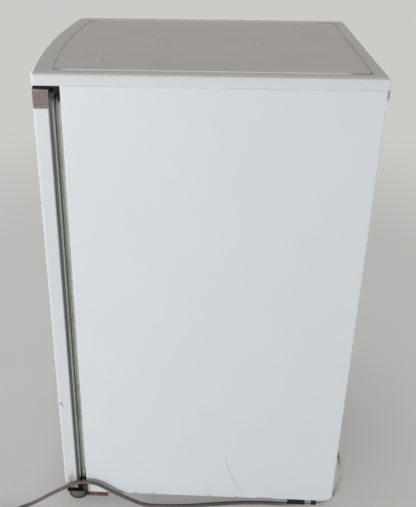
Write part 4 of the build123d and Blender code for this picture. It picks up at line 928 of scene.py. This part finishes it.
EDGE_WIDTHS = {
    "worktop_panel right_side_panel left_side_panel base_plate ice_box door_skin door_switch_plunger": 0.0003,
    "rear_roller_brackets hinge_pins thermostat_knob right_rear_roller left_rear_roller": 0.0004,
    "back_panel top_hinge_bracket bottom_hinge_bracket far_foot_bracket": 0.0005,
    "crisper_cover_trim door_switch_body drip_tray hinge_side_foot far_side_foot": 0.0005,
    "crisper_cover_glass relay_cover evaporating_dish compressor door_bottom_cap": 0.0006,
    "upper_door_rack middle_door_rack bottle_rack ice_box_flap": 0.0006,
    "ice_box_surround thermostat_housing": 0.0007,
    "inner_liner": 0.0008,
    "compressor_grommets": 0.001,
}
for nodes, width in EDGE_WIDTHS.items():
    for node in nodes.split():
        stand_in(cast_of(node), node, edge=width)
stand_in(cast_of("door_liner"), "door_liner", edge=0.0009, material=door_liner_plastic())


# ---- worktop's rim and the bead in its groove
ROUND_FOOT_Z = 0.8445
CROWN_Z = 0.8489
BEAD_Z = 0.8484


def make_worktop_rim():
    """The rim's crown sinks a little below the bead, which stands proud of it all round."""
    rim = cast_of("worktop_rim")
    squash = (CROWN_Z - ROUND_FOOT_Z) / (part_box("worktop_rim")[1].z - ROUND_FOOT_Z)
    for vertex in rim.data.vertices:
        if vertex.co.z > ROUND_FOOT_Z:
            vertex.co.z = ROUND_FOOT_Z + (vertex.co.z - ROUND_FOOT_Z) * squash
    stand_in(rim, "worktop_rim", edge=0.0004)


def make_worktop_bead():
    """A round bead pressed into the groove between the rim and the board."""
    side, back, turn = 0.1992, 0.2467, 0.01
    inset = 0.0303
    front = bow_line(side, inset)
    right = [(side - turn, back), (side, back), (side, back - turn), (side, front + turn), (side, front)]
    shares = (0.94, 0.7, 0.45, 0.2, -0.2, -0.45, -0.7, -0.94)
    outline = right + [(x * side, bow_line(x * side, inset)) for x in shares]
    outline += [(-x, y) for x, y in reversed(right)]
    bead = tube("worktop_bead", [(x, y, BEAD_Z) for x, y in outline], 0.0016, closed=True)
    finish(bead, "worktop_plastic", material=bead_vinyl())


# ---- door's seal and pin washer
def make_seal():
    """The magnetic seal, its outer lip on the liner, and its lower corners, which are moulded square."""
    stand_in(cast_of("door_gasket"), "door_gasket", angle=30)
    lip = ring_plate("seal_lip", 0.2218, 0.0556, 0.8084, 0.008, 0.0095, -0.2263, -0.2238)
    vinyl = moulded("seal_lip_vinyl", (196, 200, 194), 0.5, 700, 0.03, dust=(150, 150, 140))
    finish(lip, "seal_grey", "door", material=vinyl, edge=0.0009)
    spans = ((-0.2138, -0.2035), (0.2035, 0.2138))
    heels = [slab("seal_heel", (x0, -0.2237, 0.0518), (x1, -0.2157, 0.07)) for x0, x1 in spans]
    finish(as_one("seal_heels", heels), "seal_grey", "door", edge=0.0006)


def make_pin_washer():
    """A nylon washer keeps the door off the top hinge arm."""
    rings = [(0, 0.0044), (0.0002, 0.005), (0.0014, 0.005), (0.0016, 0.0044)]
    washer = turned("pin_washer", (PIN_X, PIN_Y, 0.82665), (0, 0, 1), rings, 28)
    finish(washer, "bush_plastic")


make_worktop_rim()
make_seal()
make_pin_washer()
make_worktop_bead()

# ---- screws
PLATE_FACE_Y = -0.2145
BRACKET_SCREWS_X = (0.194, 0.216)
SHEET_SCREWS_Z = (0.222, 0.345, 0.468, 0.591, 0.714, 0.806)


def set_screws(name, pattern, places):
    """Copies of a screw at each place, a point and an axis, as one piece."""
    return as_one(name, [another(pattern, "screw", aim(place, axis)) for place, axis in places])


def make_screws():
    """Cross-head screws hold the brackets, the worktop's rear lip and the back sheet."""
    screw = pan_screw("pattern_screw", 0.0039, 0.0021, 0.003, 0.0019)
    places = [((x, PLATE_FACE_Y, 0.8185), (0, -1, 0)) for x in BRACKET_SCREWS_X]
    for side in (-1, 1):
        for x in BRACKET_SCREWS_X:
            places.append(((side * x, PLATE_FACE_Y, 0.042), (0, -1, 0)))
            places += [((side * x, y, 0.026), (0, 0, -1)) for y in (-0.1995, -0.1815)]
    heads = set_screws("cross_head_bracket_screws", screw, places)
    browned = plated_steel("browned_screw", (64, 56, 50), 0.6, dull=(58, 44, 36))
    stand_in(heads, "bracket_screws", angle=None, material=browned)
    places = [((x, 0.269, 0.8245), (0, 1, 0)) for x in (-0.15, 0.15)]
    stand_in(set_screws("cross_head_worktop_screws", screw, places), "worktop_screws", angle=None)
    bpy.data.objects.remove(screw)
    screw = pan_screw("pattern_sheet_screw", 0.0036, 0.0016, 0.0009, 0.0016)
    places = [((x, BACK_Y, z), (0, 1, 0)) for x in (-0.222, 0.222) for z in SHEET_SCREWS_Z]
    finish(set_screws("back_sheet_screws", screw, places), "screw_steel", angle=None)
    bpy.data.objects.remove(screw)


make_screws()

# ---- door's ribbed top cap
RIB_DEPTH = 0.0007
RIB_COUNT = 12


def make_top_cap():
    """The cap's front and ends are pressed in between level ribs."""
    cap = cast_of("door_top_cap", "ribbed_top_cap")
    heights = [RIB_BASE + i * RIB_PITCH / 2 for i in range(2 * RIB_COUNT)]
    slice_across(cap, [((0, 0, z), (0, 0, 1)) for z in heights])
    edit_all(cap)
    bpy.ops.mesh.select_mode(type="VERT")
    bpy.ops.mesh.select_all(action="DESELECT")
    leave_edit()
    hollows = heights[1::2]
    for vertex in cap.data.vertices:
        x, y, z = vertex.co
        at_front = y < bow_line(min(abs(x), HALF - 0.0001)) + 0.0004
        at_corner = abs(x) > 0.2236 and y < -0.2462
        outside = abs(x) > 0.2298 or at_front or at_corner
        vertex.select = outside and any(abs(z - h) < 0.00002 for h in hollows)
    bpy.ops.object.mode_set(mode="EDIT")
    bpy.ops.transform.shrink_fatten(value=-RIB_DEPTH)
    leave_edit()
    stand_in(cap, "door_top_cap", angle=50)


make_top_cap()

# ---- crisper drawer and lamp cover
CRISPER_PULL_REACH = 0.008
FLUTE_PITCH = 0.008
FLUTE_DEPTH = 0.0009
PRISM_PITCH = 0.004
PRISM_DEPTH = 0.0007


def groove_lines(room, pitch, middle):
    """Lines half a pitch apart, as many as have room on both sides of the middle."""
    count = int(room / pitch)
    return [middle + (i / 2 - count / 2) * pitch for i in range(2 * count + 1)]


def make_crisper_drawer():
    """The drawer's front wall is pressed in shallow upright grooves under its pull."""
    low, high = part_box("crisper_drawer")
    front = low[1] + CRISPER_PULL_REACH
    drawer = cast_of("crisper_drawer", "fluted_crisper_drawer")
    lines = groove_lines(high[0] - low[0] - 0.036, FLUTE_PITCH, 0.0)
    push = (0, FLUTE_DEPTH, 0)
    flute(drawer, 0, lines, 2, low[2] + 0.014, high[2] - 0.024, lambda p: abs(p.y - front) < 0.00002, push)
    stand_in(drawer, "crisper_drawer", angle=24)


def make_lamp_cover():
    """The clear lamp cover has fine level prisms on its face."""
    low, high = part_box("lamp_cover")
    cover = cast_of("lamp_cover", "ribbed_lamp_cover")
    lines = groove_lines(high[2] - low[2] - 0.01, PRISM_PITCH, (low[2] + high[2]) / 2)
    push = (PRISM_DEPTH, 0, 0)
    flute(cover, 2, lines, 1, low[1] + 0.006, high[1] - 0.012, lambda p: abs(p.x - low[0]) < 0.00002, push)
    stand_in(cover, "lamp_cover", angle=24)


make_crisper_drawer()
make_lamp_cover()

# ---- thermostat's dial
SPINDLE_REACH = 0.009
DIAL_RADIUS = 0.0235
DIAL_TURN = 54
FIGURE_HEIGHT = 0.0075


def raised_figure(text):
    """A figure with a little depth, flat on the floor, as a mesh."""
    deselect_all()
    bpy.ops.object.text_add(location=(0, 0, 0))
    figure = bpy.context.object
    figure.data.body = text
    figure.data.size = FIGURE_HEIGHT
    figure.data.extrude = 0.0002
    figure.data.align_x = figure.data.align_y = "CENTER"
    bpy.ops.object.convert(target="MESH")
    return figure


def make_dial():
    """Figures stand round the knob: its dark line points at 5 at rest, and at 0 when turned right back."""
    low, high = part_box("thermostat_knob")
    y = (low[1] + high[1]) / 2
    z = (low[2] + high[2]) / 2
    face_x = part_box("thermostat_housing")[0][0] + SPINDLE_REACH
    stand = Matrix(((0, 0, -1), (-1, 0, 0), (0, 1, 0))).to_4x4()
    figures = []
    for i in range(6):
        figure = raised_figure(str(i))
        angle = radians(90 - (i - 5) * DIAL_TURN)
        place = Vector((face_x, y - DIAL_RADIUS * cos(angle), z + DIAL_RADIUS * sin(angle)))
        figure.data.transform(Matrix.Translation(place) @ stand)
        figures.append(figure)
    print_ink = moulded("dial_print", (58, 66, 78), 0.45, 900, 0.02)
    finish(as_one("dial_figures", figures), "liner_white", angle=None, material=print_ink)
    start = (low[0] - 0.0002, y - 0.0007, z + 0.004)
    pointer = slab("knob_pointer", start, (low[0] + 0.0004, y + 0.0007, z + 0.0112))
    finish(pointer, "knob_plastic", "knob", material=print_ink, edge=0.0002)


make_dial()

# ---- compressor's small parts
POT_SEAM_RADIUS = 0.0612
POT_SEAM_HEIGHT = 0.0702
STUB_ANGLE = 40
STUB_POINTS = ((0.054, 0.04), (0.064, 0.04), (0.07, 0.043), (0.071, 0.052), (0.071, 0.078))
PINCH_LENGTH = 0.012


def make_weld_bead(pot):
    """A weld bead runs round the pot's seam."""
    deselect_all()
    sizes = {"major_radius": POT_SEAM_RADIUS, "minor_radius": 0.0017}
    place = (pot.x, pot.y, pot.z + POT_SEAM_HEIGHT)
    bpy.ops.mesh.primitive_torus_add(major_segments=96, minor_segments=8, location=place, **sizes)
    finish(settle("pot_weld_bead"), "black_steel")


def make_filling_stub(pot):
    """A filling stub bends up beside the pot, and is pinched flat at its tip."""
    out = Vector((-sin(radians(STUB_ANGLE)), cos(radians(STUB_ANGLE)), 0))
    run = [pot + out * reach + Vector((0, 0, rise)) for reach, rise in STUB_POINTS]
    stub = tube("filling_stub", run, 0.003, 4)
    tip = run[-1]
    for vertex in stub.data.vertices:
        near_tip = max(0.0, 1 - (tip.z - vertex.co.z) / PINCH_LENGTH)
        if near_tip:
            side = (vertex.co - Vector((tip.x, tip.y, vertex.co.z))).dot(out)
            vertex.co -= out * side * 0.75 * min(1.0, near_tip * 2)
    finish(stub, "copper")


def make_relay_bail():
    """A wire over the relay's cover holds it on."""
    low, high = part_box("relay_cover")
    y = (low[1] + high[1]) / 2
    top, side, foot = high[2] + 0.0007, high[0] + 0.0007, low[2] + 0.004
    bend = 0.006
    run = [(low[0] + 0.012, top), (side - bend, top), (side, top)]
    run += [(side, top - bend), (side, foot + bend), (side, foot)]
    finish(tube("relay_bail", [(x, y, z) for x, z in run], 0.0009), "screw_steel")


pot_low, pot_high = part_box("compressor")
pot_foot = Vector(((pot_low[0] + pot_high[0]) / 2, (pot_low[1] + pot_high[1]) / 2, pot_low[2]))
make_weld_bead(pot_foot)
make_filling_stub(pot_foot)
make_relay_bail()

# ---- cord's gland, plug and strap
PLUG_Z = 0.0125
LEAD_Z = 0.0105
PLUG_FACE_X = 0.422
PIN_OFFSET = 0.0095


def ribbed_boot(place, axis, tip, first, pitch, count, end):
    """A boot that widens rib by rib, from the radius at its tip to its end, a height and a radius."""
    rings = [(0.0, tip)]
    for i in range(count):
        height = first + i * pitch
        wide = 0.0048 + i * 0.0003
        groove = wide - 0.0008
        rings += [(height, wide), (height + 0.0003, groove)]
        rings += [(height + 0.0012, groove), (height + 0.0015, wide)]
    return turned("boot", place, axis, rings + [end], 28)


def make_gland():
    """Strain relief: a clamped block on the back sheet with a ribbed boot under it."""
    block = slab("gland", (0.107, 0.2635, 0.214), (0.133, 0.281, 0.232))
    soften(block, 0.0022, 3)
    boot = ribbed_boot(CORD_ROUTE[0], (0, 0, 1), 0.0046, 0.0022, 0.004, 6, (0.0262, 0.0067))
    stand_in(as_one("strain_relief_gland", [block, boot]), "strain_relief", angle=40)


def make_plug():
    """Moulded plug: a ribbed boot, and a body with grip flats."""
    boot = ribbed_boot((0.362, TAIL_Y, LEAD_Z), (1, 0, 0), 0.0045, 0.0024, 0.0038, 5, (0.0235, 0.0066))
    outline = [(0.0, 0.008), (0.0012, 0.0096), (0.006, 0.0112), (0.015, 0.0104), (0.024, 0.0104)]
    outline += [(0.031, 0.0121), (0.033, 0.0124), (0.0372, 0.0124), (0.038, 0.0116)]
    body = turned("plug_body", (0.384, TAIL_Y, PLUG_Z), (1, 0, 0), outline, 40)
    ridge = [(0, 0.0106), (0.0004, 0.0111), (0.0009, 0.0111), (0.0013, 0.0106)]
    ridges = [turned("grip", (0.3985 + i * 0.0024, TAIL_Y, PLUG_Z), (1, 0, 0), ridge, 40) for i in range(5)]
    plug = as_one("mains_plug_body", [body, boot] + ridges)
    return stand_in(plug, "mains_plug", angle=40)


def make_pins(name, slot, start_x, rings):
    """Two turned pieces side by side on the plug's face."""
    sides = (TAIL_Y - PIN_OFFSET, TAIL_Y + PIN_OFFSET)
    pins = [turned("pin", (start_x, y, PLUG_Z), (1, 0, 0), rings, 24) for y in sides]
    return finish(as_one(name, pins), slot, angle=40)


TIE_ANGLE = 60
TURNS_RADIUS = 0.03855
TURNS_HALF_WIDTH = 0.0079
TURNS_TOP_Z = 0.0214


def make_coil_tie():
    """A rubber strap round the coil's turns holds them together, with its button on top."""
    strap = ring_plate("coil_tie", TURNS_HALF_WIDTH, 0.0001, TURNS_TOP_Z, 0.004, 0.0008, -0.005, 0.005)
    rings = [(0, 0.0024), (0.001, 0.0024), (0.0014, 0.0016)]
    button = turned("tie_button", (0, 0, TURNS_TOP_Z - 0.0002), (0, 0, 1), rings, 20)
    tie = as_one("coil_tie", [strap, button])
    turn = radians(TIE_ANGLE)
    x = COIL_CENTRE[0] + TURNS_RADIUS * cos(turn)
    y = COIL_CENTRE[1] + TURNS_RADIUS * sin(turn)
    tie.data.transform(Matrix.Translation((x, y, 0)) @ Matrix.Rotation(turn, 4, "Z"))
    return finish(tie, "grommet_rubber")


PIN_RINGS = [(0, 0.0019), (0.011, 0.0019), (0.011, 0.0024)]
PIN_RINGS += [(0.0185, 0.0024), (0.0195, 0.0021), (0.02, 0.0012)]
SLEEVE_RINGS = [(0, 0.0023), (0.01, 0.0023), (0.0104, 0.002)]

make_gland()
cord_pieces = [
    make_plug(),
    make_pins("plug_pins", "pin_steel", PLUG_FACE_X - 0.001, PIN_RINGS),
    make_pins("plug_pin_sleeves", "black_plastic", PLUG_FACE_X - 0.0005, SLEEVE_RINGS),
    make_coil_tie(),
]
mains_lead.data.materials.append(FINISHES["cord_jacket"])
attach(mains_lead, "cabinet")
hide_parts("mains_cord", "cord_coil")

# ---- light and stage
FLOOR_TONE = (204, 203, 200)
FLOOR_GLOW = 0.35
GLOW_GROWS_FROM = 1.0
GLOW_WHOLE_FROM = 2.6
SKY_LIGHT = 0.18


def seen_share(tree):
    """1 for camera, glossy and transmission rays, which see a plain tone."""
    rays = tree.nodes.new("ShaderNodeLightPath")
    total = rays.outputs["Is Camera Ray"]
    for kind in ("Is Glossy Ray", "Is Transmission Ray"):
        larger = tree.nodes.new("ShaderNodeMath")
        larger.operation = "MAXIMUM"
        tree.links.new(total, larger.inputs[0])
        tree.links.new(rays.outputs[kind], larger.inputs[1])
        total = larger.outputs[0]
    return total


def mix_shaders(tree, share, first, second, output):
    """Mixes two shaders by a share into the tree's output."""
    mix = tree.nodes.new("ShaderNodeMixShader")
    for socket, value in zip(mix.inputs, (share, first.outputs[0], second.outputs[0])):
        tree.links.new(value, socket)
    tree.links.new(mix.outputs[0], tree.nodes[output].inputs["Surface"])


def make_floor():
    """A pale floor that takes the object's shadow and turns to its own plain tone farther out."""
    deselect_all()
    bpy.ops.mesh.primitive_plane_add(size=40, location=(0, 0, 0))
    floor = settle("studio_floor")
    paint = Finish("pale_floor", FLOOR_TONE, 0.9)
    paint.mottle(2.0, 0.01)
    material = paint.done()
    tree = material.node_tree
    glow = tree.nodes.new("ShaderNodeEmission")
    glow.inputs["Color"].default_value = linear(FLOOR_TONE)
    away = paint.vector("DISTANCE", paint.place)
    far = paint.ramp(away, GLOW_GROWS_FROM, GLOW_WHOLE_FROM, FLOOR_GLOW, 1.0)
    share = paint.math("MULTIPLY", seen_share(tree), far)
    mix_shaders(tree, share, paint.shader, glow, "Material Output")
    floor.data.materials.append(material)


def make_sky():
    """Dim white light from all round, seen as the floor's tone."""
    scene.world = bpy.data.worlds.new("studio")
    scene.world.use_nodes = True
    tree = scene.world.node_tree
    light = tree.nodes["Background"]
    light.inputs["Color"].default_value = (1.0, 1.0, 1.0, 1.0)
    light.inputs["Strength"].default_value = SKY_LIGHT
    shown = tree.nodes.new("ShaderNodeBackground")
    shown.inputs["Color"].default_value = linear(FLOOR_TONE)
    mix_shaders(tree, seen_share(tree), light, shown, "World Output")


def softbox(name, place, height, size, power):
    """A rectangular light that faces the object's middle line at a height."""
    data = bpy.data.lights.new(name, "AREA")
    data.shape = "RECTANGLE"
    data.size, data.size_y = size
    data.energy = power
    lamp = link_new(name, data)
    lamp.location = place
    lamp.rotation_euler = (Vector((0, 0, height)) - Vector(place)).to_track_quat("-Z", "Y").to_euler()
    lamp.visible_camera = False


make_floor()
make_sky()
softbox("window_light", (3.1, -1.7, 0.72), 0.5, (2.6, 1.3), 85)
for name, x, y, power in (
    ("front_fill", 0.3, -3.3, 26),
    ("left_front_fill", -2.7, -2.4, 46),
    ("left_back_fill", -2.7, 2.4, 46),
    ("back_fill", 0.9, 3.3, 40),
):
    softbox(name, (x, y, 0.72), 0.5, (2.2, 1.3), power)
softbox("top_fill", (0, 0, 3.2), 0.8, (2.0, 2.0), 16)
scene.view_settings.view_transform = "Standard"
